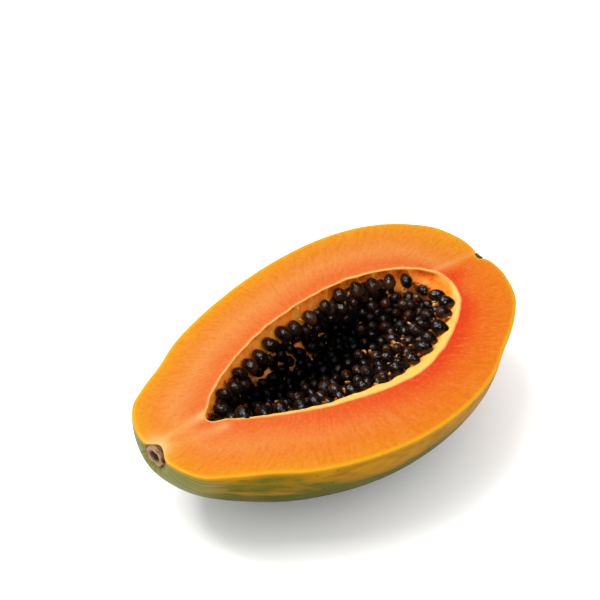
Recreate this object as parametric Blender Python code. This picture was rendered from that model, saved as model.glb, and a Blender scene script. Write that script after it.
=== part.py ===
"""Half of a papaya, cut lengthwise, with the seeds still in its cavity.

Metres, +Z up. The long axis runs along X, with the stalk end at -X and the blossom end at +X. The half lies on its
rounded back with the cut face up and level. The origin is under the middle of the half, on the surface it lies on.
"""
import math
import random
from collections import namedtuple

import bmesh
import bpy
from mathutils import Matrix, Vector

# Driving sizes of the fruit
LENGTH = 0.190
BACK_DEPTH_SHARE = 0.915
BACK_END_FULLNESS = 0.09
FLAT_SPOT_DEPTH = 0.0006
LOBES = 5
LOBE_RISE = 0.014
STALK_DIMPLE = 0.0016
STALK_DIMPLE_RADIUS = 0.008
BLOSSOM_DIMPLE = 0.0022
BLOSSOM_DIMPLE_RADIUS = 0.007

# Driving sizes of the seed cavity
CAVITY_START = -0.0655
CAVITY_END = 0.0705
CAVITY_DEPTH = 0.0270
CAVITY_FULLNESS = 0.8
FAR_WALL_ROUNDING = 1.0
NEAR_WALL_ROUNDING = 4.5
WALL_GAP = 0.0004

# Driving sizes of the bed of seeds, which lies deeper along the far wall towards the stalk
BED_NEAR_DROP = 0.0032
BED_FAR_DROP_STALK = 0.0080
BED_FAR_DROP_BLOSSOM = 0.0030
BED_CLIMB_START = 0.008
BED_CLIMB_END = 0.038
BED_END_SHARE = 0.5
BED_VALLEY = 0.0112
BED_VALLEY_PLACE = 0.25
BED_VALLEY_FAR_WIDTH = 0.13
BED_VALLEY_NEAR_WIDTH = 0.46
BED_OVERREACH = 1.06
BED_THICKNESS = 0.033

# Driving sizes of the seeds and their rows
FAR_ROWS = 3
NEAR_ROWS = 7
FAR_ROW_END = 2.72
FAR_SEED_INSET = 0.0042
NEAR_SEED_INSET = 0.0070
RIM_SEED_PITCH = 0.0078
SEED_PITCH = 0.0059
SEED_LENGTH = 0.0068
SEED_WIDTH = 0.0056
SEED_SIZE_SPREAD = 0.08
RIM_SEED_GROWTH = 1.10
SEED_LIFT = 0.0013
SEED_TAPER = 0.45
SEED_WALL_GAP = 0.0008
CROWDING = 0.80
WALL_STEP = 0.0003
WALL_STEPS = 14
ROW_STEPS = 300
WANDER = 0.06
ROW_UNEVENNESS = 0.1
OUTWARD_FAN = 0.35
OUTWARD_REACH = 0.03
FIRST_LEAN = 0.25
LEAN_GROWTH = 0.5
FLAT_LEAN = 0.6
TIP_RISE = 0.1
GAP_DRAWS = 900
GAP_TURNS = (0.1, 3.0)
GAP_SHARES = (0.15, 1.0)
RANDOM_SEED = 12

# Driving sizes of the two scars: end of the fruit, dimple it sits in, radius, depth, drop under the cut and tilt
Scar = namedtuple("Scar", "end dimple radius depth drop tilt")
STALK_SCAR = Scar(-1, STALK_DIMPLE, 0.0064, 0.0052, 0.0036, math.radians(8))
BLOSSOM_SCAR = Scar(1, BLOSSOM_DIMPLE, 0.0026, 0.0030, 0.0012, math.radians(8))
SCAR_HOLLOW_SHARE = 0.35
SCAR_STAND = 0.0002
SEAT_GAP = 0.0003

# How finely the surfaces are divided
FRUIT_STATIONS = 44
BACK_ARCS = 26
CAVITY_ARCS = 12
CUT_RINGS = 2
BED_STATIONS = 30
BED_ARCS = 14
SEED_SIDES = 6
SEED_RINGS = 4
SCAR_SIDES = 14
MERGE_DISTANCE = 1e-6

# One side of an outline: its half width, how far that leans to the blossom end, its waist and how blunt its ends are
Side = namedtuple("Side", "width lean waist bluntness")
FRUIT_FAR = Side(0.0499, 0.19, -0.02, 0.88)
FRUIT_NEAR = Side(0.0536, 0.09, 0.115, 0.86)
CAVITY_FAR = Side(0.0248, 0.165, 0.09, 0.97)
CAVITY_NEAR = Side(0.0268, 0.23, 0.26, 0.72)


def half_width(side, turn):
    """Half width of an outline at a turn, which runs from 0 at the stalk end to pi at the blossom end."""
    round_end = max(math.sin(turn), 0.0) ** side.bluntness
    return side.width * round_end * (1 - side.lean * math.cos(turn) - side.waist * math.cos(2 * turn))


def widest(side):
    return max(half_width(side, math.pi * step / 400) for step in range(401))


# The stem axis lies beside the middle of the half, because its near side is the wider one
AXIS_OFFSET = (widest(FRUIT_NEAR) - widest(FRUIT_FAR)) / 2

# The cut face is level and as high as the back is deep, less the little that the flat spot takes off
CUT_HEIGHT = BACK_DEPTH_SHARE * (widest(FRUIT_FAR) + widest(FRUIT_NEAR)) / 2 - FLAT_SPOT_DEPTH
CAVITY_WIDEST = widest(CAVITY_NEAR)


def placed(x, y, z):
    """A point given from the stem axis and the cut face, in the frame of the part."""
    return Vector((x, y + AXIS_OFFSET, z + CUT_HEIGHT))


def smooth_step(value, start, end):
    """0 before start, 1 after end and an easy curve between them."""
    share = max(0.0, min(1.0, (value - start) / (end - start)))
    return share * share * (3 - 2 * share)


def end_spacing(share):
    """Turns from 0 to pi that lie closer together towards both ends, where the fruit is most curved."""
    return math.pi * share - 0.25 * math.sin(2 * math.pi * share)


def fruit_point(turn, swing):
    """A point of the skin; swing runs from 0 at the far edge of the cut, under the back, to pi at the near edge."""
    far = half_width(FRUIT_FAR, turn)
    near = half_width(FRUIT_NEAR, turn)
    radius = (far + near) / 2
    stalk_side = (1 + math.cos(turn)) / 2
    lobe = 1 + LOBE_RISE * stalk_side * math.cos(LOBES * swing) * math.sin(swing)
    x = -LENGTH / 2 * math.cos(turn)
    if turn < math.pi / 2:
        x += STALK_DIMPLE * math.exp(-(radius / STALK_DIMPLE_RADIUS) ** 2)
    else:
        x -= BLOSSOM_DIMPLE * math.exp(-(radius / BLOSSOM_DIMPLE_RADIUS) ** 2)
    depth = BACK_DEPTH_SHARE * (1 + BACK_END_FULLNESS * math.cos(turn) ** 2) * radius
    y = (far - near) / 2 + radius * math.cos(swing) * lobe
    z = -depth * math.sin(swing) * lobe
    return placed(x, y, z)


def cavity_station(turn, inset):
    """Place along the fruit, middle and half width of the cavity at a turn, drawn in from its wall by an inset."""
    middle_x = (CAVITY_START + CAVITY_END) / 2
    reach = (CAVITY_END - CAVITY_START) / 2 - inset
    share = 1 - inset / CAVITY_WIDEST
    far = half_width(CAVITY_FAR, turn) * share
    near = half_width(CAVITY_NEAR, turn) * share
    return middle_x - reach * math.cos(turn), (far - near) / 2, (far + near) / 2


def cavity_point(turn, swing, inset=0.0):
    """A point of the cavity's wall, steep on the far side and a shelf that falls away slowly on the near side."""
    x, middle, radius = cavity_station(turn, inset)
    nearness = (1 - math.cos(swing)) / 2
    rounding = FAR_WALL_ROUNDING + (NEAR_WALL_ROUNDING - FAR_WALL_ROUNDING) * nearness
    depth = (CAVITY_DEPTH - inset) * max(math.sin(turn), 0.0) ** CAVITY_FULLNESS
    return placed(x, middle + radius * math.cos(swing), -depth * max(math.sin(swing), 0.0) ** rounding)


def bed_height(x, y):
    """Height of the bed of seeds at a place, from the cut face: a valley that lies close to the far wall."""
    middle_x = (CAVITY_START + CAVITY_END) / 2
    reach = (CAVITY_END - CAVITY_START) / 2
    along = max(-1.0, min(1.0, (x - middle_x) / reach))
    turn = math.acos(-along)
    _, middle, radius = cavity_station(turn, 0.0)
    across = 0.5 - (y - middle) / (2 * max(radius, WALL_GAP))
    across = max(0.0, min(1.0, across))
    climb = smooth_step(x, BED_CLIMB_START, BED_CLIMB_END)
    far_drop = BED_FAR_DROP_STALK + (BED_FAR_DROP_BLOSSOM - BED_FAR_DROP_STALK) * climb
    edge_drop = far_drop + (BED_NEAR_DROP - far_drop) * across
    width = BED_VALLEY_FAR_WIDTH if across < BED_VALLEY_PLACE else BED_VALLEY_NEAR_WIDTH
    valley = math.exp(-((across - BED_VALLEY_PLACE) / width) ** 2)
    fullness = max(math.sin(turn), 0.0)
    edge_share = BED_END_SHARE + (1 - BED_END_SHARE) * fullness
    return -edge_drop * edge_share - BED_VALLEY * valley * fullness ** CAVITY_FULLNESS


def inside_cavity(point):
    """Whether a point, given from the stem axis and the cut face, keeps clear of the cavity's wall."""
    middle_x = (CAVITY_START + CAVITY_END) / 2
    along = (point.x - middle_x) / ((CAVITY_END - CAVITY_START) / 2 - SEED_WALL_GAP)
    if abs(along) >= 1:
        return False
    turn = math.acos(-along)
    _, middle, radius = cavity_station(turn, SEED_WALL_GAP)
    aside = (point.y - middle) / radius
    if abs(aside) >= 1:
        return False
    wall = cavity_point(turn, math.acos(aside), SEED_WALL_GAP)
    return point.z + CUT_HEIGHT > wall.z


def row_point(turn, edge, share):
    """A point of one row of seeds; edge is 1 at the far wall and -1 at the near one, share is 0 there and 1 mid-valley."""
    x, middle, radius = cavity_station(turn, FAR_SEED_INSET if edge > 0 else NEAR_SEED_INSET)
    start = middle + edge * radius
    valley = middle + radius * (1 - 2 * BED_VALLEY_PLACE)
    return Vector((x, start + (valley - start) * share))


def seed_stand(middle, tip, size):
    """The matrix that puts a seed's own axes and size in their place, from the stem axis and the cut face."""
    turn = tip.to_track_quat("Z", "Y").to_matrix().to_4x4()
    width = size * SEED_WIDTH
    return Matrix.Translation(middle) @ turn @ Matrix.Diagonal((width, width, size * SEED_LENGTH, 1))


def settled(middle, tip, size, inward):
    """The seed's middle, moved inward from where it was drawn until no end or side of it meets the wall."""
    ends = [Vector(axis) * way / 2 for axis in ((1, 0, 0), (0, 1, 0), (0, 0, 1)) for way in (-1, 1)]
    for _ in range(WALL_STEPS):
        stand = seed_stand(middle, tip, size)
        if all(inside_cavity(stand @ end) for end in ends):
            return middle
        middle = middle + inward * WALL_STEP
        middle.z = max(middle.z, bed_height(middle.x, middle.y) + SEED_LIFT)
    return None


def drawn_seed(draw, turn, edge, share, wander, growth):
    """One seed drawn near a place in its row, or None where the cavity has no room for it."""
    place = row_point(turn, edge, share) + Vector((draw.uniform(-1, 1), draw.uniform(-1, 1))) * wander
    outward = Vector((OUTWARD_FAN * place.x, edge * OUTWARD_REACH, 0)).normalized()
    lean = Vector((draw.uniform(-1, 1), draw.uniform(-1, 1), draw.uniform(-FLAT_LEAN, FLAT_LEAN)))
    lean *= FIRST_LEAN + LEAN_GROWTH * share
    tip = (outward + lean + Vector((0, 0, TIP_RISE - share))).normalized()
    size = growth * draw.uniform(1 - SEED_SIZE_SPREAD, 1 + SEED_SIZE_SPREAD)
    middle = Vector((place.x, place.y, bed_height(place.x, place.y) + SEED_LIFT))
    middle = settled(middle, tip, size, -outward)
    return (middle, tip, size) if middle else None


def seed_spots():
    """Every seed as its middle, the way its tip points and its size: first the rows, then seeds in the gaps."""
    draw = random.Random(RANDOM_SEED)
    spots = []

    def keep(seed):
        if seed and all((seed[0] - other[0]).length > CROWDING * SEED_PITCH for other in spots):
            spots.append(seed)

    rows = [(1, 0.0), (-1, 0.0)]
    rows += [(-1, row / NEAR_ROWS) for row in range(1, NEAR_ROWS)]
    rows += [(1, row / FAR_ROWS) for row in range(1, FAR_ROWS + 1)]
    for edge, share in rows:
        pitch = RIM_SEED_PITCH if share == 0 else SEED_PITCH
        growth = RIM_SEED_GROWTH if share == 0 else 1.0
        walked = draw.uniform(0, pitch)
        last = row_point(0, edge, share)
        for step in range(1, ROW_STEPS):
            turn = math.pi * step / ROW_STEPS
            if edge > 0 and turn > FAR_ROW_END:
                break
            here = row_point(turn, edge, share)
            walked += (here - last).length
            last = here
            if walked >= pitch:
                walked = draw.uniform(-ROW_UNEVENNESS, ROW_UNEVENNESS) * pitch
                keep(drawn_seed(draw, turn, edge, share, WANDER * pitch, growth))
    for _ in range(GAP_DRAWS):
        edge = draw.choice((-1, 1))
        turn = draw.uniform(*GAP_TURNS)
        keep(drawn_seed(draw, turn, edge, draw.uniform(*GAP_SHARES), WANDER * SEED_PITCH, 1.0))
    return spots


def make_material(name, hex_colour, roughness):
    """A Principled material in one colour, given as an sRGB hex value."""
    def linear(pair):
        value = int(pair, 16) / 255
        return value / 12.92 if value <= 0.04045 else ((value + 0.055) / 1.055) ** 2.4

    material = bpy.data.materials.new(name)
    material.use_nodes = True
    shader = material.node_tree.nodes["Principled BSDF"]
    colour = [linear(hex_colour[i:i + 2]) for i in (0, 2, 4)] + [1.0]
    shader.inputs["Base Color"].default_value = colour
    shader.inputs["Roughness"].default_value = roughness
    shader.inputs["Metallic"].default_value = 0.0
    material.diffuse_color = colour
    return material


def add_object(name, bm, materials):
    mesh = bpy.data.meshes.new(name)
    bm.to_mesh(mesh)
    bm.free()
    for material in materials:
        mesh.materials.append(material)
    mesh.shade_smooth()
    mesh.set_sharp_from_angle(angle=math.radians(40))
    made = bpy.data.objects.new(name, mesh)
    bpy.context.scene.collection.objects.link(made)
    return made


def apply_modifiers(made):
    """Swap an object's mesh for the one its modifiers make."""
    graph = bpy.context.evaluated_depsgraph_get()
    mesh = bpy.data.meshes.new_from_object(made.evaluated_get(graph), depsgraph=graph)
    made.modifiers.clear()
    made.data = mesh


def cut_with(made, cutter, operation="DIFFERENCE"):
    """Cut one object with another and remove the cutter."""
    modifier = made.modifiers.new("cut", "BOOLEAN")
    modifier.operation = operation
    modifier.solver = "EXACT"
    modifier.object = cutter
    apply_modifiers(made)
    bpy.data.objects.remove(cutter)


def add_sheet(bm, point, columns, rows, slot=0):
    """A curved sheet: a grid bent to the surface that `point` gives for two shares, and merged where it meets itself."""
    verts = bmesh.ops.create_grid(bm, x_segments=columns, y_segments=rows, size=1.0)["verts"]
    for face in {face for vert in verts for face in vert.link_faces}:
        face.material_index = slot
    for vert in verts:
        vert.co = point((vert.co.x + 1) / 2, (vert.co.y + 1) / 2)
    bmesh.ops.remove_doubles(bm, verts=verts, dist=MERGE_DISTANCE)


def cut_point(around, inward):
    """A point of the cut face: once around the fruit, and from its skin inward to the cavity."""
    swing = 0 if around < 0.5 else math.pi
    turn = end_spacing(2 * around if around < 0.5 else 2 - 2 * around)
    return fruit_point(turn, swing).lerp(cavity_point(turn, swing), inward)


def make_fruit():
    """Skin, flesh and cavity lining as the one body that they grew as, lying on its small flat spot."""
    bm = bmesh.new()
    add_sheet(bm, lambda u, v: fruit_point(end_spacing(u), math.pi * v), FRUIT_STATIONS, BACK_ARCS, slot=0)
    add_sheet(bm, cut_point, 2 * FRUIT_STATIONS, CUT_RINGS, slot=1)
    add_sheet(bm, lambda u, v: cavity_point(end_spacing(u), math.pi * v), FRUIT_STATIONS, CAVITY_ARCS, slot=2)
    bmesh.ops.remove_doubles(bm, verts=bm.verts, dist=MERGE_DISTANCE)
    everything = list(bm.verts) + list(bm.edges) + list(bm.faces)
    bmesh.ops.bisect_plane(bm, geom=everything, plane_co=(0, 0, 0), plane_no=(0, 0, 1), clear_inner=True)
    bmesh.ops.holes_fill(bm, edges=[edge for edge in bm.edges if edge.is_boundary], sides=0)
    bmesh.ops.recalc_face_normals(bm, faces=bm.faces)
    skin = make_material("papaya skin", "C98F14", 0.42)
    flesh = make_material("papaya flesh", "FF8A45", 0.40)
    lining = make_material("cavity lining", "FFC977", 0.48)
    return add_object("fruit_half", bm, [skin, flesh, lining])


def scar_plug(radius, start, end):
    """A round plug along Z between two heights, as a bmesh."""
    bm = bmesh.new()
    bmesh.ops.create_circle(bm, cap_ends=True, segments=SCAR_SIDES, radius=radius)
    bmesh.ops.translate(bm, verts=bm.verts, vec=(0, 0, start))
    pushed = bmesh.ops.extrude_face_region(bm, geom=list(bm.faces))
    top = [item for item in pushed["geom"] if isinstance(item, bmesh.types.BMVert)]
    bmesh.ops.translate(bm, verts=top, vec=(0, 0, end - start))
    bmesh.ops.recalc_face_normals(bm, faces=bm.faces)
    return bm


def make_scar(name, fruit, scar, material):
    """A corky plug at one end of the fruit, cut through by the knife, in a seat that this cuts into the fruit."""
    outward = Matrix.Rotation(scar.end * (math.pi / 2 + scar.tilt), 4, "Y")
    outer_end = LENGTH / 2 - scar.dimple + SCAR_STAND
    seat_start = placed(scar.end * (outer_end - scar.depth), 0, -scar.drop)
    stand = Matrix.Translation(seat_start) @ outward

    cutter_bm = scar_plug(scar.radius + SEAT_GAP, -SEAT_GAP, 2 * scar.depth)
    bmesh.ops.transform(cutter_bm, matrix=stand, verts=cutter_bm.verts)
    cut_with(fruit, add_object(name + "_seat", cutter_bm, []))

    bm = scar_plug(scar.radius, 0, scar.depth)
    top = max(bm.faces, key=lambda face: face.calc_center_median().z)
    bmesh.ops.inset_region(bm, faces=[top], thickness=scar.radius * (1 - SCAR_HOLLOW_SHARE))
    bmesh.ops.translate(bm, verts=top.verts, vec=(0, 0, -scar.depth * SCAR_HOLLOW_SHARE))
    bmesh.ops.transform(bm, matrix=stand, verts=bm.verts)
    everything = list(bm.verts) + list(bm.edges) + list(bm.faces)
    face_height = (0, 0, CUT_HEIGHT)
    bmesh.ops.bisect_plane(bm, geom=everything, plane_co=face_height, plane_no=(0, 0, 1), clear_outer=True)
    bmesh.ops.holes_fill(bm, edges=[edge for edge in bm.edges if edge.is_boundary], sides=0)
    bmesh.ops.recalc_face_normals(bm, faces=bm.faces)
    return add_object(name, bm, [material])


def make_filling():
    """All the room that the cavity has for seeds, a little in from its wall and open upward."""
    bm = bmesh.new()
    add_sheet(bm, lambda u, v: cavity_point(end_spacing(u), math.pi * v, WALL_GAP), BED_STATIONS, BED_ARCS)
    raised = bmesh.ops.extrude_edge_only(bm, edges=[edge for edge in bm.edges if edge.is_boundary])
    top = [item for item in raised["geom"] if isinstance(item, bmesh.types.BMVert)]
    bmesh.ops.translate(bm, verts=top, vec=(0, 0, 2 * SEED_LENGTH))
    bmesh.ops.holes_fill(bm, edges=[edge for edge in bm.edges if edge.is_boundary], sides=0)
    bmesh.ops.recalc_face_normals(bm, faces=bm.faces)
    return add_object("filling", bm, [])


def make_bed(material):
    """The packed inside of the seed mass, hollowed along its middle by a valley, and still wider than the cavity."""
    bm = bmesh.new()
    bmesh.ops.create_grid(bm, x_segments=BED_STATIONS, y_segments=BED_ARCS, size=1.0)
    for vert in bm.verts:
        x = (CAVITY_START + CAVITY_END) / 2 + vert.co.x * BED_OVERREACH * (CAVITY_END - CAVITY_START) / 2
        y = vert.co.y * BED_OVERREACH * CAVITY_WIDEST
        vert.co = placed(x, y, bed_height(x, y))
    pushed = bmesh.ops.extrude_face_region(bm, geom=list(bm.faces))
    bottom = [item for item in pushed["geom"] if isinstance(item, bmesh.types.BMVert)]
    bmesh.ops.translate(bm, verts=bottom, vec=(0, 0, -BED_THICKNESS))
    bmesh.ops.recalc_face_normals(bm, faces=bm.faces)
    return add_object("seeds", bm, [material])


def make_seed(middle, tip, size, material):
    """One seed: a few-sided egg with its narrow end along `tip`."""
    bm = bmesh.new()
    bmesh.ops.create_uvsphere(bm, u_segments=SEED_SIDES, v_segments=SEED_RINGS, radius=0.5)
    for vert in bm.verts:
        vert.co.xy *= 1 - SEED_TAPER * vert.co.z
    stand = Matrix.Translation(placed(0, 0, 0)) @ seed_stand(middle, tip, size)
    bmesh.ops.transform(bm, matrix=stand, verts=bm.verts)
    return add_object("seed", bm, [material])


def make_seeds():
    """All the seeds as one body: each stands out of the bed, and one union joins them."""
    material = make_material("papaya seed", "1B120E", 0.30)
    bed = make_bed(material)
    cut_with(bed, make_filling(), operation="INTERSECT")
    loose = bpy.data.collections.new("loose seeds")
    bpy.context.scene.collection.children.link(loose)
    for place, tip, size in seed_spots():
        seed = make_seed(place, tip, size, material)
        bpy.context.scene.collection.objects.unlink(seed)
        loose.objects.link(seed)
    print("seeds", len(loose.objects))
    modifier = bed.modifiers.new("join", "BOOLEAN")
    modifier.operation = "UNION"
    modifier.operand_type = "COLLECTION"
    modifier.solver = "MANIFOLD"
    modifier.collection = loose
    apply_modifiers(bed)
    for seed in list(loose.objects):
        bpy.data.objects.remove(seed)
    bpy.data.collections.remove(loose)
    return bed


def main():
    for old in list(bpy.data.objects):
        bpy.data.objects.remove(old)
    fruit = make_fruit()
    cork = make_material("stalk scar cork", "7A5226", 0.80)
    dry = make_material("dry blossom remnant", "3A2A16", 0.85)
    make_scar("stem_scar", fruit, STALK_SCAR, cork)
    make_scar("blossom_scar", fruit, BLOSSOM_SCAR, dry)
    make_seeds()


main()
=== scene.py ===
# %% [markdown]
# # Half a papaya, cut lengthwise, with its seeds
#
# A ripe papaya is a hollow berry. Cut from stalk to blossom end it shows a thin waxy skin, a thick
# wall of orange flesh and an open cavity packed with black seeds. The plain model loaded below
# already has that structure at its real size. This script keeps every piece where it is and gives
# it the surface of the real fruit.
#
# The first cell loads the plain model. Its long axis is X, with the stalk end at -X, and the cut
# face is up.

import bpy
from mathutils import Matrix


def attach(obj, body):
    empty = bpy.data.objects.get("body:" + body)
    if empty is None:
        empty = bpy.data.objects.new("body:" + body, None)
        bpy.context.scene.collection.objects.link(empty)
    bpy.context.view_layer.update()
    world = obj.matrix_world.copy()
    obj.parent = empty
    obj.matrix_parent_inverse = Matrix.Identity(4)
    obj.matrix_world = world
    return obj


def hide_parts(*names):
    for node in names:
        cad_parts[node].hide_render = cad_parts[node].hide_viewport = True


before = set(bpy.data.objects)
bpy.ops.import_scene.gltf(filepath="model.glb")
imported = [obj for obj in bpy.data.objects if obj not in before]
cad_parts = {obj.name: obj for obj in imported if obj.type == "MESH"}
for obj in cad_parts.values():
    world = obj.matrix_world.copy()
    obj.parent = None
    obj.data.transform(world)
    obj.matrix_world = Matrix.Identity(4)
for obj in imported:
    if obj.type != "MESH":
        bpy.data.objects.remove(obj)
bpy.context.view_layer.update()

# %% Other tools that the script needs
import math
import random
from collections import namedtuple

import bmesh
import bpy
from mathutils import Matrix, Vector, noise
from mathutils.kdtree import KDTree

MM = 0.001

# %% [markdown]
# ## The outline rule
#
# A papaya's outline is a stretched circle that leans: it is fuller towards the blossom end, and
# each side has a waist of its own. The outline could be drawn by hand as a curve, but a short
# formula is easier to vary and gives a smooth skin. These are the same values that the plain solids
# were made from, so the fine surface lands on them.

# %% Driving sizes of the outline
LENGTH = 0.190
BACK_DEPTH_SHARE = 0.915
BACK_END_FULLNESS = 0.09
FLAT_SPOT_DEPTH = 0.0006

Side = namedtuple("Side", "width lean waist bluntness")
FRUIT_FAR = Side(0.0499, 0.19, -0.02, 0.88)
FRUIT_NEAR = Side(0.0536, 0.09, 0.115, 0.86)
CAVITY_FAR = Side(0.0248, 0.165, 0.09, 0.97)
CAVITY_NEAR = Side(0.0268, 0.23, 0.26, 0.72)


def half_width(side, turn):
    """Half width of an outline at a turn, which runs from 0 at the stalk end to pi at the blossom end."""
    round_end = max(math.sin(turn), 0.0) ** side.bluntness
    return side.width * round_end * (1 - side.lean * math.cos(turn) - side.waist * math.cos(2 * turn))


def widest(side):
    return max(half_width(side, math.pi * step / 400) for step in range(401))


def smooth_step(value, start, end):
    """0 before start, 1 after end and an easy curve between them."""
    share = max(0.0, min(1.0, (value - start) / (end - start)))
    return share * share * (3 - 2 * share)


def bell(value, width):
    """1 where the value is 0, falling away softly on both sides."""
    return math.exp(-(value / width) ** 2)


AXIS_OFFSET = (widest(FRUIT_NEAR) - widest(FRUIT_FAR)) / 2
CUT_HEIGHT = BACK_DEPTH_SHARE * (widest(FRUIT_FAR) + widest(FRUIT_NEAR)) / 2 - FLAT_SPOT_DEPTH
CUT_CENTRE = Vector((0, AXIS_OFFSET, CUT_HEIGHT))
CAVITY_WIDEST = widest(CAVITY_NEAR)
print("cut face at", round(CUT_HEIGHT / MM, 2), "mm, stem axis at y", round(AXIS_OFFSET / MM, 2), "mm")


def placed(x, y, z):
    """A point given from the stem axis and the cut face, in the frame of the part."""
    return CUT_CENTRE + Vector((x, y, z))


# %% [markdown]
# ## Swells of the outline
#
# No fruit follows a formula to the millimetre. Each swell below is a soft bump or dip of the
# outline at one place, in millimetres from the stem axis. A freely drawn outline would do too, but
# then every other rule would lose the simple formula that it rests on.

# %% Bumps and dips of this fruit
Swell = namedtuple("Swell", "x y rise reach")
SWELLS = [
    Swell(x=-88, y=-19, rise=2.4, reach=9),
    Swell(x=-84, y=22, rise=1.4, reach=8),
    Swell(x=-95, y=3, rise=-1.9, reach=7),
    Swell(x=-61, y=34, rise=-1.3, reach=11),
    Swell(x=-66, y=-38, rise=-1.6, reach=11),
    Swell(x=62, y=-46, rise=-1.5, reach=13),
    Swell(x=95, y=-5, rise=-1.3, reach=7),
    Swell(x=90, y=22, rise=0.9, reach=8),
    Swell(x=86, y=-26, rise=0.9, reach=8),
]


def swell_at(x, y):
    """How far the outline stands outward of the formula at a place."""
    offs = [math.hypot(x / MM - swell.x, y / MM - swell.y) for swell in SWELLS]
    return MM * sum(swell.rise * bell(off, swell.reach) for swell, off in zip(SWELLS, offs))


# %% [markdown]
# ## The skin as a function
#
# Each point of the skin is given by two numbers: how far along the fruit, and how far round its
# back. Five low lobes run lengthwise from the stalk, as the five carpels do on the real fruit. A
# little noise keeps the back from looking turned on a lathe. At each end the skin dips to a scar,
# and the scar's seat is pressed in a little more. A swell moves the skin outward, and close to the
# axis it turns towards the end, so that the two sides of the outline don't cross there.

# %% A point of the skin
LOBES = 5
LOBE_RISE = 0.014
WALL_GAP = 0.4 * MM
STALK_DIMPLE = 0.0016
STALK_DIMPLE_RADIUS = 0.008
BLOSSOM_DIMPLE = 0.0022
BLOSSOM_DIMPLE_RADIUS = 0.007
WAVE_SHARE = 0.012
WAVE_LENGTH = 35 * MM
WAVE_TURNS = 2.0
END_RADIUS = 10 * MM
SWELL_TURN = 7 * MM
SEAT_DEPTH = 2.2 * MM
SEAT_STEEPNESS = 6

Scar = namedtuple("Scar", "end dimple radius depth drop tilt")
STALK_SCAR = Scar(-1, STALK_DIMPLE, 0.0064, 0.0052, 0.0036, math.radians(8))
BLOSSOM_SCAR = Scar(1, BLOSSOM_DIMPLE, 0.0026, 0.0030, 0.0012, math.radians(8))


def seat_share(y, z, scar):
    """1 on the seat of a scar and 0 outside it, for a place beside the stem axis and below the cut."""
    return math.exp(-(math.hypot(y, z + scar.drop) / scar.radius) ** SEAT_STEEPNESS)


def fruit_point(turn, swing):
    """A point of the skin; swing runs from 0 at the far edge, under the back, to pi at the near edge."""
    far = half_width(FRUIT_FAR, turn)
    near = half_width(FRUIT_NEAR, turn)
    radius = (far + near) / 2
    stalk_side = (1 + math.cos(turn)) / 2
    x = -LENGTH / 2 * math.cos(turn)
    lobe = LOBE_RISE * stalk_side * math.cos(LOBES * swing)
    around = Vector((x / WAVE_LENGTH, WAVE_TURNS * math.cos(swing), WAVE_TURNS * math.sin(swing)))
    swell = 1 + (lobe + WAVE_SHARE * noise.noise(around)) * math.sin(swing)
    depth = BACK_DEPTH_SHARE * (1 + BACK_END_FULLNESS * math.cos(turn) ** 2) * radius
    y = (far - near) / 2 + radius * math.cos(swing) * swell
    z = -depth * math.sin(swing) * swell

    farness = (1 + math.cos(swing)) / 2
    rise = farness * swell_at(x, far) + (1 - farness) * swell_at(x, -near)
    rise *= 1 - smooth_step(radius, 0, END_RADIUS) * math.sin(swing) ** 2
    endward = Vector((math.copysign(1, x), 0, 0))
    outward = Vector((x / LENGTH ** 2, y / (2 * radius + WALL_GAP) ** 2, 0)).normalized()
    outward = endward.lerp(outward, smooth_step(radius, 0, SWELL_TURN))
    if turn < math.pi / 2:
        dimple = STALK_DIMPLE * bell(radius, STALK_DIMPLE_RADIUS)
        x += dimple + SEAT_DEPTH * seat_share(y, z, STALK_SCAR)
    else:
        dimple = BLOSSOM_DIMPLE * bell(radius, BLOSSOM_DIMPLE_RADIUS)
        x -= dimple + SEAT_DEPTH / 2 * seat_share(y, z, BLOSSOM_SCAR)
    point = placed(x, y, z) + outward * rise
    point.z = max(point.z, 0.0)
    return point


# %% [markdown]
# ## The seed cavity as a function
#
# The cavity has a steep far wall, and a near wall that starts as a shelf and falls away slowly. The
# last lines are the heap of seeds in it. It sinks to a dark valley close to the far wall, because
# ripe seeds hang on the walls and not in the middle, and it lies deeper along the far wall towards
# the stalk.

# %% A point of the cavity wall and the height of the seed heap
CAVITY_START = -0.0655
CAVITY_END = 0.0705
CAVITY_DEPTH = 0.0270
CAVITY_FULLNESS = 0.8
FAR_WALL_ROUNDING = 1.0
NEAR_WALL_ROUNDING = 4.5
CAVITY_MIDDLE = (CAVITY_START + CAVITY_END) / 2
CAVITY_REACH = (CAVITY_END - CAVITY_START) / 2

BED_NEAR_DROP = 0.0032
BED_FAR_DROP_STALK = 0.0080
BED_FAR_DROP_BLOSSOM = 0.0030
BED_CLIMB_START = 0.008
BED_CLIMB_END = 0.038
BED_END_SHARE = 0.5
BED_VALLEY = 0.0112
BED_VALLEY_PLACE = 0.25
BED_VALLEY_FAR_WIDTH = 0.13
BED_VALLEY_NEAR_WIDTH = 0.46


def cavity_station(turn, inset):
    """Place along the fruit, middle and half width of the cavity at a turn, drawn in by an inset."""
    share = 1 - inset / CAVITY_WIDEST
    far = half_width(CAVITY_FAR, turn) * share
    near = half_width(CAVITY_NEAR, turn) * share
    return CAVITY_MIDDLE - (CAVITY_REACH - inset) * math.cos(turn), (far - near) / 2, (far + near) / 2


def cavity_point(turn, swing, inset=0.0):
    """A point of the wall, steep on the far side and a shelf that falls away slowly on the near side."""
    x, middle, radius = cavity_station(turn, inset)
    nearness = (1 - math.cos(swing)) / 2
    rounding = FAR_WALL_ROUNDING + (NEAR_WALL_ROUNDING - FAR_WALL_ROUNDING) * nearness
    depth = (CAVITY_DEPTH - inset) * max(math.sin(turn), 0.0) ** CAVITY_FULLNESS
    return placed(x, middle + radius * math.cos(swing), -depth * max(math.sin(swing), 0.0) ** rounding)


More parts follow.
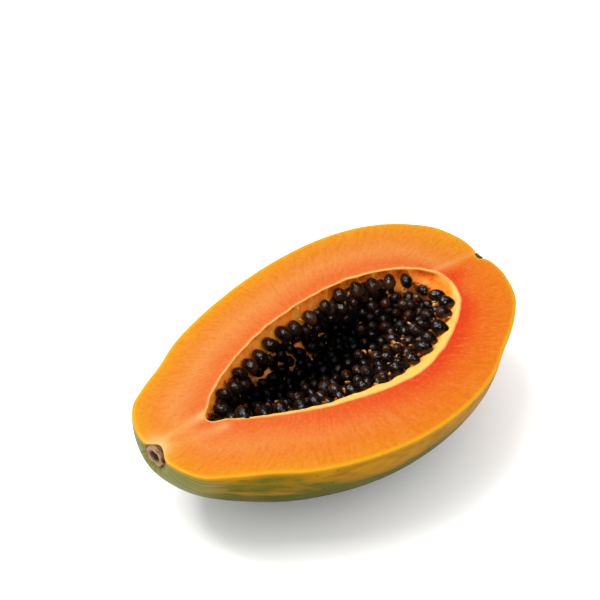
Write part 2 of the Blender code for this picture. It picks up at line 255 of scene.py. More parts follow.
def valley_share(x, y):
    """How far across the cavity a place is, from 0 at the far wall to 1, and how full it is there."""
    along = max(-1.0, min(1.0, (x - CAVITY_MIDDLE) / CAVITY_REACH))
    turn = math.acos(-along)
    _, middle, radius = cavity_station(turn, 0.0)
    across = 0.5 - (y - middle) / (2 * max(radius, WALL_GAP))
    return max(0.0, min(1.0, across)), max(math.sin(turn), 0.0)


def bed_height(x, y):
    """Height of the bed of seeds at a place, from the cut face: a valley that lies close to the far wall."""
    across, fullness = valley_share(x, y)
    climb = smooth_step(x, BED_CLIMB_START, BED_CLIMB_END)
    far_drop = BED_FAR_DROP_STALK + (BED_FAR_DROP_BLOSSOM - BED_FAR_DROP_STALK) * climb
    edge_drop = far_drop + (BED_NEAR_DROP - far_drop) * across
    width = BED_VALLEY_FAR_WIDTH if across < BED_VALLEY_PLACE else BED_VALLEY_NEAR_WIDTH
    edge_share = BED_END_SHARE + (1 - BED_END_SHARE) * fullness
    valley = bell(across - BED_VALLEY_PLACE, width)
    return -edge_drop * edge_share - BED_VALLEY * valley * fullness ** CAVITY_FULLNESS


# %% [markdown]
# ## Where the seeds sit
#
# Papaya seeds grow in rows on the wall, each on a short stalk. The rows could be placed by hand,
# but a seeded random draw along each row gives the same even crowd every run, and it repeats the
# plain solids seed by seed. A seed that would touch the wall is moved inward, and seeds drawn into
# the gaps come last.

# %% Draw the seeds in their rows
FAR_ROWS = 3
NEAR_ROWS = 7
FAR_ROW_END = 2.72
FAR_SEED_INSET = 0.0042
NEAR_SEED_INSET = 0.0070
RIM_SEED_PITCH = 0.0078
SEED_PITCH = 0.0059
SEED_LENGTH = 0.0068
SEED_WIDTH = 0.0056
SEED_SIZE_SPREAD = 0.08
RIM_SEED_GROWTH = 1.10
SEED_LIFT = 0.0013
SEED_WALL_GAP = 0.0008
CROWDING = 0.80
WALL_STEP = 0.0003
WALL_STEPS = 14
ROW_STEPS = 300
WANDER = 0.06
ROW_UNEVENNESS = 0.1
OUTWARD_FAN = 0.35
OUTWARD_REACH = 0.03
FIRST_LEAN = 0.25
LEAN_GROWTH = 0.5
FLAT_LEAN = 0.6
TIP_RISE = 0.1
GAP_DRAWS = 900
GAP_TURNS = (0.1, 3.0)
GAP_SHARES = (0.15, 1.0)
RANDOM_SEED = 12

Seed = namedtuple("Seed", "middle tip size edge share")


def inside_cavity(point):
    """Whether a point, given from the stem axis and the cut face, keeps clear of the cavity's wall."""
    along = (point.x - CAVITY_MIDDLE) / (CAVITY_REACH - SEED_WALL_GAP)
    if abs(along) >= 1:
        return False
    turn = math.acos(-along)
    _, middle, radius = cavity_station(turn, SEED_WALL_GAP)
    aside = (point.y - middle) / radius
    if abs(aside) >= 1:
        return False
    wall = cavity_point(turn, math.acos(aside), SEED_WALL_GAP)
    return point.z + CUT_HEIGHT > wall.z


def row_point(turn, edge, share):
    """A point of a row of seeds; edge is 1 at the far wall and -1 at the near one, share is 1 mid-valley."""
    x, middle, radius = cavity_station(turn, FAR_SEED_INSET if edge > 0 else NEAR_SEED_INSET)
    start = middle + edge * radius
    valley = middle + radius * (1 - 2 * BED_VALLEY_PLACE)
    return Vector((x, start + (valley - start) * share))


def seed_stand(middle, tip, size):
    """The matrix that gives a seed its place, turn and size, from the stem axis and the cut face."""
    turned = tip.to_track_quat("Z", "Y").to_matrix().to_4x4()
    width = size * SEED_WIDTH
    return Matrix.Translation(middle) @ turned @ Matrix.Diagonal((width, width, size * SEED_LENGTH, 1))


def settled(middle, tip, size, inward):
    """The seed's middle, moved inward from where it was drawn until no end or side of it meets the wall."""
    ends = [Vector(axis) * way / 2 for axis in ((1, 0, 0), (0, 1, 0), (0, 0, 1)) for way in (-1, 1)]
    for _ in range(WALL_STEPS):
        stand = seed_stand(middle, tip, size)
        if all(inside_cavity(stand @ end) for end in ends):
            return middle
        middle = middle + inward * WALL_STEP
        middle.z = max(middle.z, bed_height(middle.x, middle.y) + SEED_LIFT)
    return None


def drawn_seed(draw, turn, edge, share, wander, growth):
    """One seed drawn near a place in its row, or None where the cavity has no room for it."""
    place = row_point(turn, edge, share) + Vector((draw.uniform(-1, 1), draw.uniform(-1, 1))) * wander
    outward = Vector((OUTWARD_FAN * place.x, edge * OUTWARD_REACH, 0)).normalized()
    lean = Vector((draw.uniform(-1, 1), draw.uniform(-1, 1), draw.uniform(-FLAT_LEAN, FLAT_LEAN)))
    lean *= FIRST_LEAN + LEAN_GROWTH * share
    tip = (outward + lean + Vector((0, 0, TIP_RISE - share))).normalized()
    size = growth * draw.uniform(1 - SEED_SIZE_SPREAD, 1 + SEED_SIZE_SPREAD)
    middle = Vector((place.x, place.y, bed_height(place.x, place.y) + SEED_LIFT))
    middle = settled(middle, tip, size, -outward)
    return Seed(middle, tip, size, edge, share) if middle else None


def seed_spots():
    """Every seed of the plain solid: first the rows, then the seeds in the gaps."""
    draw = random.Random(RANDOM_SEED)
    spots = []

    def keep(seed):
        if seed and all((seed.middle - other.middle).length > CROWDING * SEED_PITCH for other in spots):
            spots.append(seed)

    rows = [(1, 0.0), (-1, 0.0)]
    rows += [(-1, row / NEAR_ROWS) for row in range(1, NEAR_ROWS)]
    rows += [(1, row / FAR_ROWS) for row in range(1, FAR_ROWS + 1)]
    for edge, share in rows:
        pitch = RIM_SEED_PITCH if share == 0 else SEED_PITCH
        growth = RIM_SEED_GROWTH if share == 0 else 1.0
        walked = draw.uniform(0, pitch)
        last = row_point(0, edge, share)
        for step in range(1, ROW_STEPS):
            turn = math.pi * step / ROW_STEPS
            if edge > 0 and turn > FAR_ROW_END:
                break
            here = row_point(turn, edge, share)
            walked += (here - last).length
            last = here
            if walked >= pitch:
                walked = draw.uniform(-ROW_UNEVENNESS, ROW_UNEVENNESS) * pitch
                keep(drawn_seed(draw, turn, edge, share, WANDER * pitch, growth))
    for _ in range(GAP_DRAWS):
        edge = draw.choice((-1, 1))
        turn = draw.uniform(*GAP_TURNS)
        keep(drawn_seed(draw, turn, edge, draw.uniform(*GAP_SHARES), WANDER * SEED_PITCH, 1.0))
    return spots


SEEDS = seed_spots()
print("seeds of the plain solid", len(SEEDS))

# %% [markdown]
# ## Loosen the rows
#
# The plain solid needs seeds of even size, a little apart. Real ones crowd and differ. So each is
# moved by up to 0.8 mm along each axis and sized anew, and those of the near row are lifted onto
# the shelf and towards the rim, where the picture shows them. The wall reads the same list, so that
# each seed has its own alcove or dent.

# %% Move and size each seed a little
SHIFT = 0.8 * MM
NEAR_SHIFT = 3.0 * MM
NEAR_SHIFT_START = -10 * MM
NEAR_SHIFT_END = 20 * MM
NEAR_LIFT = 2.3 * MM
RIM_SIZES = (0.88, 1.12)
HEAP_SIZES = (0.72, 1.04)


def loosened(seed, draw):
    """A seed moved and sized a little at random."""
    shift = Vector((draw.uniform(-SHIFT, SHIFT), draw.uniform(-SHIFT, SHIFT), draw.uniform(-SHIFT, 0)))
    if seed.share > 0:
        return seed._replace(middle=seed.middle + shift, size=seed.size * draw.uniform(*HEAP_SIZES))
    if seed.edge < 0:
        outward = NEAR_SHIFT * smooth_step(seed.middle.x, NEAR_SHIFT_START, NEAR_SHIFT_END)
        shift += Vector((0, -outward, NEAR_LIFT))
    return seed._replace(middle=seed.middle + shift, size=seed.size * draw.uniform(*RIM_SIZES))


loosening = random.Random(RANDOM_SEED + 3)
LOOSE_SEEDS = [loosened(seed, loosening) for seed in SEEDS]
FAR_RIM_SEEDS = [seed for seed in LOOSE_SEEDS if seed.share == 0 and seed.edge == 1]
NEAR_RIM_SEEDS = [seed for seed in LOOSE_SEEDS if seed.share == 0 and seed.edge == -1]
print("seeds on the far rim", len(FAR_RIM_SEEDS), "and on the near rim", len(NEAR_RIM_SEEDS))

# %% [markdown]
# ## Helpers for pieces
#
# A sheet is a flat grid whose points are moved onto a surface by a function. It is one operator
# call, where a list of vertices and faces would be pages. Rows of the grid that fall on one point,
# as at the two ends of the fruit, are merged at once. Every finished mesh goes through one
# function, which also ties it to the one body of the fruit.

# %% Sheets, small bodies and finished pieces
MERGE_DISTANCE = 1e-6


def add_sheet(bm, point, columns, rows, slot=0):
    """A grid bent to the surface that `point` gives for two shares, merged where it meets itself."""
    verts = bmesh.ops.create_grid(bm, x_segments=columns, y_segments=rows, size=1.0)["verts"]
    for face in {face for vert in verts for face in vert.link_faces}:
        face.material_index = slot
    for vert in verts:
        vert.co = point((vert.co.x + 1) / 2, (vert.co.y + 1) / 2)
    bmesh.ops.remove_doubles(bm, verts=verts, dist=MERGE_DISTANCE)


def add_copy(bm, mesh, stand):
    """Adds a copy of a small mesh at the place, turn and size that a matrix gives."""
    copy = mesh.copy()
    copy.transform(stand)
    bm.from_mesh(copy)
    bpy.data.meshes.remove(copy)


def store(mesh, name, values, kind="FLOAT"):
    """Stores one number, or one vector, for each vertex of a mesh."""
    layer = mesh.attributes.new(name, kind, "POINT")
    if kind == "FLOAT":
        layer.data.foreach_set("value", values)
    else:
        layer.data.foreach_set("vector", [part for value in values for part in value])


SHARP_ANGLE = math.radians(50)


def finish_piece(name, bm, materials, rounded=False):
    """Turns a bmesh into a smooth-shaded object with its materials; rounded ones get one subdivision."""
    bmesh.ops.recalc_face_normals(bm, faces=bm.faces)
    mesh = bpy.data.meshes.new(name)
    bm.to_mesh(mesh)
    bm.free()
    for material in materials:
        mesh.materials.append(material)
    mesh.shade_smooth()
    if not rounded:
        mesh.set_sharp_from_angle(angle=SHARP_ANGLE)
    piece = bpy.data.objects.new(name, mesh)
    bpy.context.scene.collection.objects.link(piece)
    if rounded:
        rounding = piece.modifiers.new("rounding", "SUBSURF")
        rounding.levels = 1
        rounding.render_levels = 1
    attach(piece, "root")
    mesh.calc_loop_triangles()
    print(name, "has", len(mesh.vertices), "vertices and", len(mesh.loop_triangles), "triangles")
    return piece


# %% [markdown]
# ## Helpers for finishes
#
# Colours are written as the sRGB hex values that one sees, and Blender's shaders want linear light,
# so one function turns one into the other. One more function adds a node with its settings and
# links and gives back its output. Everything else is wiring. All patterns are measured in
# millimetres on the fruit, so they keep their real size.

# %% Colours and nodes
MIX_SHARE = 0
MIX_A = 6
MIX_B = 7
MIX_COLOUR = 2
COLOUR_MIX = {"data_type": "RGBA", "clamp_factor": True}


def linear(hex_colour):
    """An sRGB hex colour as the linear values that a shader takes."""
    def channel(pair):
        value = int(pair, 16) / 255
        return value / 12.92 if value <= 0.04045 else ((value + 0.055) / 1.055) ** 2.4

    return [channel(hex_colour[i:i + 2]) for i in (0, 2, 4)] + [1.0]


def add_node(tree, kind, settings=None, inputs=None, output=0, stops=()):
    """Adds a node and gives back one output; an input is a value, a hex colour or another node's output."""
    node = tree.nodes.new(kind)
    for name, value in (settings or {}).items():
        setattr(node, name, value)
    for name, value in (inputs or {}).items():
        if isinstance(value, bpy.types.NodeSocket):
            tree.links.new(value, node.inputs[name])
        else:
            node.inputs[name].default_value = linear(value) if isinstance(value, str) else value
    for number, (place, colour) in enumerate(stops):
        elements = node.color_ramp.elements
        element = elements[number] if number < len(elements) else elements.new(place)
        element.position = place
        element.color = linear(colour)
    return node.outputs[output] if node.outputs else None


def new_material(name):
    """A material with an empty node tree."""
    material = bpy.data.materials.new(name)
    material.use_nodes = True
    material.node_tree.nodes.clear()
    return material, material.node_tree


# %% [markdown]
# ## The fruit as one closed body
#
# Skin, flesh and lining grew as one piece, so they are one mesh with three finishes: three sheets
# that share their edges. Rows of points lie closer together at the two ends of the fruit and at the
# edge of the cavity, where the shape turns quickly.

# %% Sizes of the fine surface
STATIONS = 260
BACK_ARCS = 60
CUT_ROWS = 28
WALL_ARCS = 84
END_CROWDING = 0.25
CUT_CROWDING = 0.13
WALL_CROWDING = 0.42


def end_spacing(share, crowding=END_CROWDING):
    """Turns from 0 to pi that lie closer together at both ends."""
    return math.pi * share - crowding * math.sin(2 * math.pi * share)


def edge_spacing(share):
    """Shares from 0 to 1 that lie closer together at both ends."""
    return share - CUT_CROWDING * math.sin(2 * math.pi * share)


# %% [markdown]
# ## The lip, and the alcoves behind the seeds
#
# The pale lining of the cavity is tougher than the flesh. On the far side it stands in a thin lip
# over the seeds, and under it every rim seed has pressed an alcove into the orange flesh, with a
# pale ridge between each two. On the near side the lining is a shelf, dented by each seed that lies
# on it. A Boolean with a ball for each seed would leave hard edges. Moving the wall by smooth
# functions keeps it one skin. The lining also leans in at the top, so the opening is narrower than
# the cavity below it.

# %% A point of the wall with its lip and alcoves
FAR_NARROWING = 2.1 * MM
FAR_NARROWING_BLOSSOM = 0.7 * MM
FAR_NARROWING_PLACES = (10 * MM, 40 * MM)
NEAR_NARROWING = 4.0 * MM
NEAR_NARROWING_PLACES = (-15 * MM, 32 * MM)
NARROWING_END = 6.5 * MM
LIP_WIDTH = 0.3 * MM
LIP_TURN = 0.3 * MM
LIP_THICKNESS = 0.4 * MM
UNDERCUT_END = 3.0 * MM
FLAT_LIP_END = 0.8 * MM
ALCOVE_REACH = 4.1 * MM
ALCOVE_SPACING = 7.5 * MM
ALCOVE_DEPTH = 1.6 * MM
RIDGE_REACH = 2.2 * MM
ALCOVE_FLOOR = 9.0 * MM
SHELF_DENT = 2.6 * MM
SHELF_DENT_REACH = 4.3 * MM
SHELF_RIDGE = 1.5 * MM
SHELF_RIDGE_FADE = 2.5 * MM
RIM_WOBBLE = 0.45 * MM
RIM_WOBBLE_LENGTH = 6.0 * MM
WALL_LUMPS = 0.35 * MM
WALL_LUMP_LENGTH = 2.4 * MM
END_FADE = 0.3
WALL_FAN = 0.25

ALCOVES = sorted(seed.middle.x for seed in FAR_RIM_SEEDS)
ALCOVES = [ALCOVES[0] - ALCOVE_SPACING, *ALCOVES, ALCOVES[-1] + ALCOVE_SPACING]


def alcove_share(x):
    """How deep in an alcove a place along the far wall is: 0 on a ridge, 1 in the middle of an alcove."""
    nearest = min(abs(x - place) for place in ALCOVES)
    return math.sqrt(max(1 - (nearest / ALCOVE_REACH) ** 2, 0.0))


def narrowing(swing, point):
    """How far the wall leans inward at its top, where the opening is narrower than the cavity below."""
    blossom = smooth_step(point.x, *FAR_NARROWING_PLACES)
    far = FAR_NARROWING + (FAR_NARROWING_BLOSSOM - FAR_NARROWING) * blossom
    near = NEAR_NARROWING * (1 - smooth_step(point.x, *NEAR_NARROWING_PLACES))
    width = near + (far - near) * (1 + math.cos(swing)) / 2
    return width * (1 - smooth_step(CUT_HEIGHT - point.z, -NARROWING_END, NARROWING_END)) * 2


def far_side(swing):
    return smooth_step(math.cos(swing), 0.05, 0.45)


def lip_moves(turn, swing, point):
    """How far the far wall moves outward and how far it is lifted, for the lip and the alcoves under it."""
    depth = CUT_HEIGHT - point.z
    share = far_side(swing) * smooth_step(math.sin(turn), 0.0, END_FADE)
    lip = -LIP_WIDTH * smooth_step(depth, 0, LIP_TURN)
    under = smooth_step(depth, LIP_THICKNESS, UNDERCUT_END)
    under *= 1 - smooth_step(depth, UNDERCUT_END, ALCOVE_FLOOR)
    alcove = alcove_share(point.x)
    pushed = (alcove * (LIP_WIDTH + ALCOVE_DEPTH) - (1 - alcove) * RIDGE_REACH) * under
    lift = depth * (1 - smooth_step(depth, 0, FLAT_LIP_END))
    return share * (lip + pushed), share * lift


def shelf_rise(turn, swing, point):
    """How far the near wall is raised: dented under each near seed and ridged between them."""
    depth = CUT_HEIGHT - point.z
    y = point.y - AXIS_OFFSET
    gap = min(math.hypot(point.x - seed.middle.x, y - seed.middle.y) for seed in NEAR_RIM_SEEDS)
    share = (1 - far_side(swing)) * smooth_step(depth, 0.1 * MM, SHELF_RIDGE_FADE)
    return share * (SHELF_RIDGE - (SHELF_RIDGE + SHELF_DENT) * bell(gap, SHELF_DENT_REACH))


def wall_point(turn, swing):
    """A point of the cavity's wall as it looks."""
    point = cavity_point(turn, swing)
    _, middle, _ = cavity_station(turn, 0.0)
    aside = Vector((WALL_FAN * point.x, point.y - AXIS_OFFSET - middle, 0))
    if aside.length < WALL_GAP:
        return point
    push, lift = lip_moves(turn, swing, point)
    fading = smooth_step(math.sin(turn), 0.0, END_FADE)
    wobble = RIM_WOBBLE * noise.noise(point / RIM_WOBBLE_LENGTH)
    lump = WALL_LUMPS * noise.noise(point / WALL_LUMP_LENGTH) * smooth_step(CUT_HEIGHT - point.z, 0, MM)
    rise = lift + lump + shelf_rise(turn, swing, point)
    push += wobble * fading - narrowing(swing, point) * fading
    return point + aside.normalized() * push + Vector((0, 0, rise))


# %% Join skin, cut face and wall
def skin_sheet_point(along, across):
    return fruit_point(end_spacing(along), math.pi * across)


def cut_sheet_point(around, inward):
    """A point of the cut face: once around the fruit, and from its skin inward to the cavity."""
    swing = 0 if around < 0.5 else math.pi
    turn = end_spacing(2 * around if around < 0.5 else 2 - 2 * around)
    return fruit_point(turn, swing).lerp(wall_point(turn, swing), edge_spacing(inward))


def wall_sheet_point(along, across):
    return wall_point(end_spacing(along), end_spacing(across, WALL_CROWDING))


def fruit_body():
    """The closed body of the fruit: its skin in slot 0, its cut face in slot 1 and its wall in slot 2."""
    bm = bmesh.new()
    add_sheet(bm, skin_sheet_point, STATIONS, BACK_ARCS, slot=0)
    add_sheet(bm, cut_sheet_point, 2 * STATIONS, CUT_ROWS, slot=1)
    add_sheet(bm, wall_sheet_point, STATIONS, WALL_ARCS, slot=2)
    bmesh.ops.remove_doubles(bm, verts=bm.verts, dist=MERGE_DISTANCE)
    return bm


fruit_bm = fruit_body()
print("open edges", sum(edge.is_boundary for edge in fruit_bm.edges))

# %% [markdown]
# ## Relief of the cut face
#
# The knife leaves the cut face flat but not perfect. Its two edges are slightly rounded, the pale
# lining stands a little proud, and the fibres give it a faint grain. The relief needs two distances
# for each point of the cut: to the skin and to the cavity. A k-d tree of closely spaced points
# along each edge finds the nearest one quickly. The same two distances colour the flesh later on.

# %% Measure the cut face and raise its relief
EDGE_SAMPLES = 1600
EDGE_ROUNDING = 0.30 * MM
EDGE_ROUNDING_WIDTH = 0.45 * MM
LINING_RISE = 0.20 * MM
LINING_WIDTH = 0.9 * MM
GRAIN_RISE = 0.10 * MM
GRAIN_LENGTH = 2.5 * MM
STRAND_RISE = 0.30 * MM

# Pale strands that carry sap run on both sides of the axis, from the cavity to the stalk scar
UPPER_STRAND = 2.5 * MM
UPPER_STRAND_WIDTH = 2.0 * MM
LOWER_STRAND_START = -7.2 * MM
LOWER_STRAND_END = -1.6 * MM
LOWER_STRAND_WIDTH = 2.2 * MM
LOWER_STRAND_SHARE = 0.50
STRANDS_START = -58 * MM
STRANDS_FULL = -63 * MM
STRANDS_END = -90 * MM
STALK_PAD = 5.0 * MM
STRAND_GAP = -77 * MM
STRAND_GAP_REACH = 10 * MM
STRAND_GAP_SHARE = 0.80

# At the blossom end one thin pale line runs from the cavity to the notch
BLOSSOM_LINE_START = Vector((0.0680, 0.0052))
BLOSSOM_LINE_END = Vector((0.0930, 0.0022))
BLOSSOM_LINE_WIDTH = 1.3 * MM
BLOSSOM_LINE_SHARE = 0.32


def edge_tree(point):
    """A search tree of points along both sides of an edge that `point` gives by turn and swing."""
    tree = KDTree(2 * EDGE_SAMPLES)
    for step in range(EDGE_SAMPLES):
        turn = end_spacing((step + 0.5) / EDGE_SAMPLES)
        for side, swing in enumerate((0.0, math.pi)):
            spot = point(turn, swing)
            tree.insert(Vector((spot.x, spot.y, 0)), 2 * step + side)
    tree.balance()
    return tree


SKIN_EDGE = edge_tree(fruit_point)
CAVITY_EDGE = edge_tree(wall_point)


def edge_distances(point):
    """Distance of a point from the skin's edge and from the cavity's edge, seen from above."""
    flat = Vector((point.x, point.y, 0))
    return SKIN_EDGE.find(flat)[2], CAVITY_EDGE.find(flat)[2]


def strand_share(point):
    """How much a point of the cut face lies on a pale strand, from 0 to 1."""
    x = point.x
    y = point.y - AXIS_OFFSET
    along = (STRANDS_FULL - x) / (STRANDS_FULL - STRANDS_END)
    lower_y = LOWER_STRAND_START + (LOWER_STRAND_END - LOWER_STRAND_START) * max(along, 0.0)
    upper = bell(y - UPPER_STRAND, UPPER_STRAND_WIDTH)
    lower = LOWER_STRAND_SHARE * bell(y - lower_y, LOWER_STRAND_WIDTH)
    pad = bell(math.hypot(x - STRANDS_END, y - MM), STALK_PAD)
    stalk = max(upper, lower) * (1 - STRAND_GAP_SHARE * bell(x - STRAND_GAP, STRAND_GAP_REACH))
    stalk = max(stalk, pad) * smooth_step(-x, -STRANDS_START, -STRANDS_FULL)
    way = BLOSSOM_LINE_END - BLOSSOM_LINE_START
    share = (Vector((x, y)) - BLOSSOM_LINE_START).dot(way) / way.length_squared
    share = max(0.0, min(1.0, share))
    off = (Vector((x, y)) - BLOSSOM_LINE_START - way * share).length
    return max(stalk, BLOSSOM_LINE_SHARE * bell(off, BLOSSOM_LINE_WIDTH) * (1 - 0.5 * share))


def cut_relief(point):
    """How far the cut face stands above its flat plane at a point."""
    from_skin, from_cavity = edge_distances(point)
    rounding = bell(from_skin, EDGE_ROUNDING_WIDTH) + bell(from_cavity, EDGE_ROUNDING_WIDTH)
    lining = bell(from_cavity, LINING_WIDTH)
    grain = noise.noise(point / GRAIN_LENGTH)
    strand = strand_share(point)
    return LINING_RISE * lining + GRAIN_RISE * grain + STRAND_RISE * strand - EDGE_ROUNDING * rounding


for vert in fruit_bm.verts:
    if vert.co.z > CUT_HEIGHT - MERGE_DISTANCE:
        vert.co.z += cut_relief(vert.co)
reliefs = [vert.co.z - CUT_HEIGHT for vert in fruit_bm.verts if vert.co.z > CUT_HEIGHT - MM]
print("relief of the cut face", round(min(reliefs) / MM, 2), "to", round(max(reliefs) / MM, 2), "mm")

# %% [markdown]
# ## Skin finish
#
# Papaya skin is a thin waxy cuticle, smooth but faintly pebbled. It ripens from green to golden
# yellow in uneven patches that run lengthwise, stays grey green with pale ribs round the stalk, and
# carries small brown lenticels. The patches are noise stretched along the fruit, on coordinates
# stored in the mesh: millimetres along the fruit and millimetres round its back.
# It is also painted darker towards its belly, which is painted shade, and paler along its top edge, which is
# a painted highlight.

# %% Papaya skin
PATCH = (1 / 42, 1 / 15, 1)
RIB = (0.012, 0.42, 1)
FRECKLE = 2.6
PEBBLE = 1.1


def skin_material():
    """Waxy cuticle: long golden and green patches, fine pores and brown specks tell the eye it is ripe."""
    material, tree = new_material("waxy papaya skin")
    where = add_node(tree, "ShaderNodeAttribute", {"attribute_name": "skin_place"}, output="Vector")
    unripe, stalk, warm, edge, belly = (
        add_node(tree, "ShaderNodeAttribute", {"attribute_name": name}, output="Fac")
        for name in ("unripe", "stalk_green", "blossom_warm", "edge_gold", "belly")
    )
    stretched = add_node(tree, "ShaderNodeVectorMath", {"operation": "MULTIPLY"}, {0: where, 1: PATCH})
    patches = add_node(tree, "ShaderNodeTexNoise", None, {"Vector": stretched, "Scale": 1.0, "Detail": 4.0})
    streaks = add_node(tree, "ShaderNodeTexNoise", None, {"Vector": stretched, "Scale": 4.0, "Detail": 3.0})
    share = add_node(tree, "ShaderNodeMath", {"operation": "MULTIPLY_ADD"}, {0: patches, 1: 2.6, 2: unripe})
    share = add_node(tree, "ShaderNodeMath", {"operation": "MULTIPLY_ADD"}, {0: streaks, 1: 1.2, 2: share})
    share = add_node(
        tree, "ShaderNodeMapRange", {"interpolation_type": "SMOOTHSTEP"},
        {"Value": share, "From Min": 2.05, "From Max": 2.75},
    )
    golden = add_node(
        tree, "ShaderNodeValToRGB", None, {"Fac": streaks},
        stops=[(0.30, "7D5500"), (0.50, "936500"), (0.72, "A67700")],
    )
    green = add_node(
        tree, "ShaderNodeValToRGB", None, {"Fac": patches},
        stops=[(0.30, "333B04"), (0.55, "484805"), (0.80, "5F5B07")],
    )

    ribs = add_node(tree, "ShaderNodeVectorMath", {"operation": "MULTIPLY"}, {0: where, 1: RIB})
    ribs = add_node(tree, "ShaderNodeTexNoise", None, {"Vector": ribs, "Scale": 1.0, "Detail": 2.0})
    ribs = add_node(tree, "ShaderNodeMapRange", None, {"Value": ribs, "From Min": 0.50, "From Max": 0.66})
    ribs = add_node(tree, "ShaderNodeMath", {"operation": "MULTIPLY"}, {0: ribs, 1: stalk})

    cells = {"Vector": where, "Scale": 1 / FRECKLE}
    distance = add_node(tree, "ShaderNodeTexVoronoi", None, cells, output="Distance")
    cell = add_node(tree, "ShaderNodeTexVoronoi", None, cells, output="Color")
    dot = add_node(tree, "ShaderNodeMapRange", None, {"Value": distance, "From Min": 0.24, "From Max": 0.08})
    chosen = add_node(tree, "ShaderNodeSeparateColor", None, {"Color": cell})
    chosen = add_node(
        tree, "ShaderNodeMapRange", None,
        {"Value": chosen, "From Min": 0.70, "From Max": 0.85, "To Max": 0.75},
    )
    dot = add_node(tree, "ShaderNodeMath", {"operation": "MULTIPLY"}, {0: dot, 1: chosen})

    colour = golden
    # Below, the golden B37E00 mix at the edge is a painted highlight along the top of the skin.
    for share, tint in (
        (share, green), (warm, "A56A12"), (stalk, "646532"), (ribs, "818053"),
        # The dark olive 1C1A00 mix on the belly is painted shade.
        (edge, "B37E00"), (dot, "322207"), (belly, "1C1A00"),
    ):
        layer = {MIX_SHARE: share, MIX_A: colour, MIX_B: tint}
        colour = add_node(tree, "ShaderNodeMix", COLOUR_MIX, layer, MIX_COLOUR)

    fine = {"Vector": where, "Scale": 1 / PEBBLE, "Detail": 3.0}
    pebbles = add_node(tree, "ShaderNodeTexNoise", None, fine)
    pebbled = {"Height": pebbles, "Strength": 0.22, "Distance": 0.25 * MM}
    bump = add_node(tree, "ShaderNodeBump", None, pebbled)
    rough = add_node(tree, "ShaderNodeMapRange", None, {"Value": streaks, "To Min": 0.38, "To Max": 0.52})
    shader = add_node(
        tree, "ShaderNodeBsdfPrincipled", None,
        {"Base Color": colour, "Normal": bump, "Roughness": rough, "IOR": 1.40, "Specular IOR Level": 0.05},
    )
    add_node(tree, "ShaderNodeOutputMaterial", None, {"Surface": shader})
    return material


# %% [markdown]
# ## Flesh finish
#
# Ripe flesh is wet and lets light in a few millimetres, which softens its shading, so it has
# subsurface scattering. Its colour follows the distance from the skin: a yellow rim, orange, then
# red orange next to the cavity, deepest on the near side towards the blossom end. The lining of the
# cavity shows as a pale edge, and two pale strands run to the stalk. A fine fibrous grain points
# from the cavity to the skin.

# %% Papaya flesh
MOTTLE = 1.5 * MM
CLOUD = 14 * MM


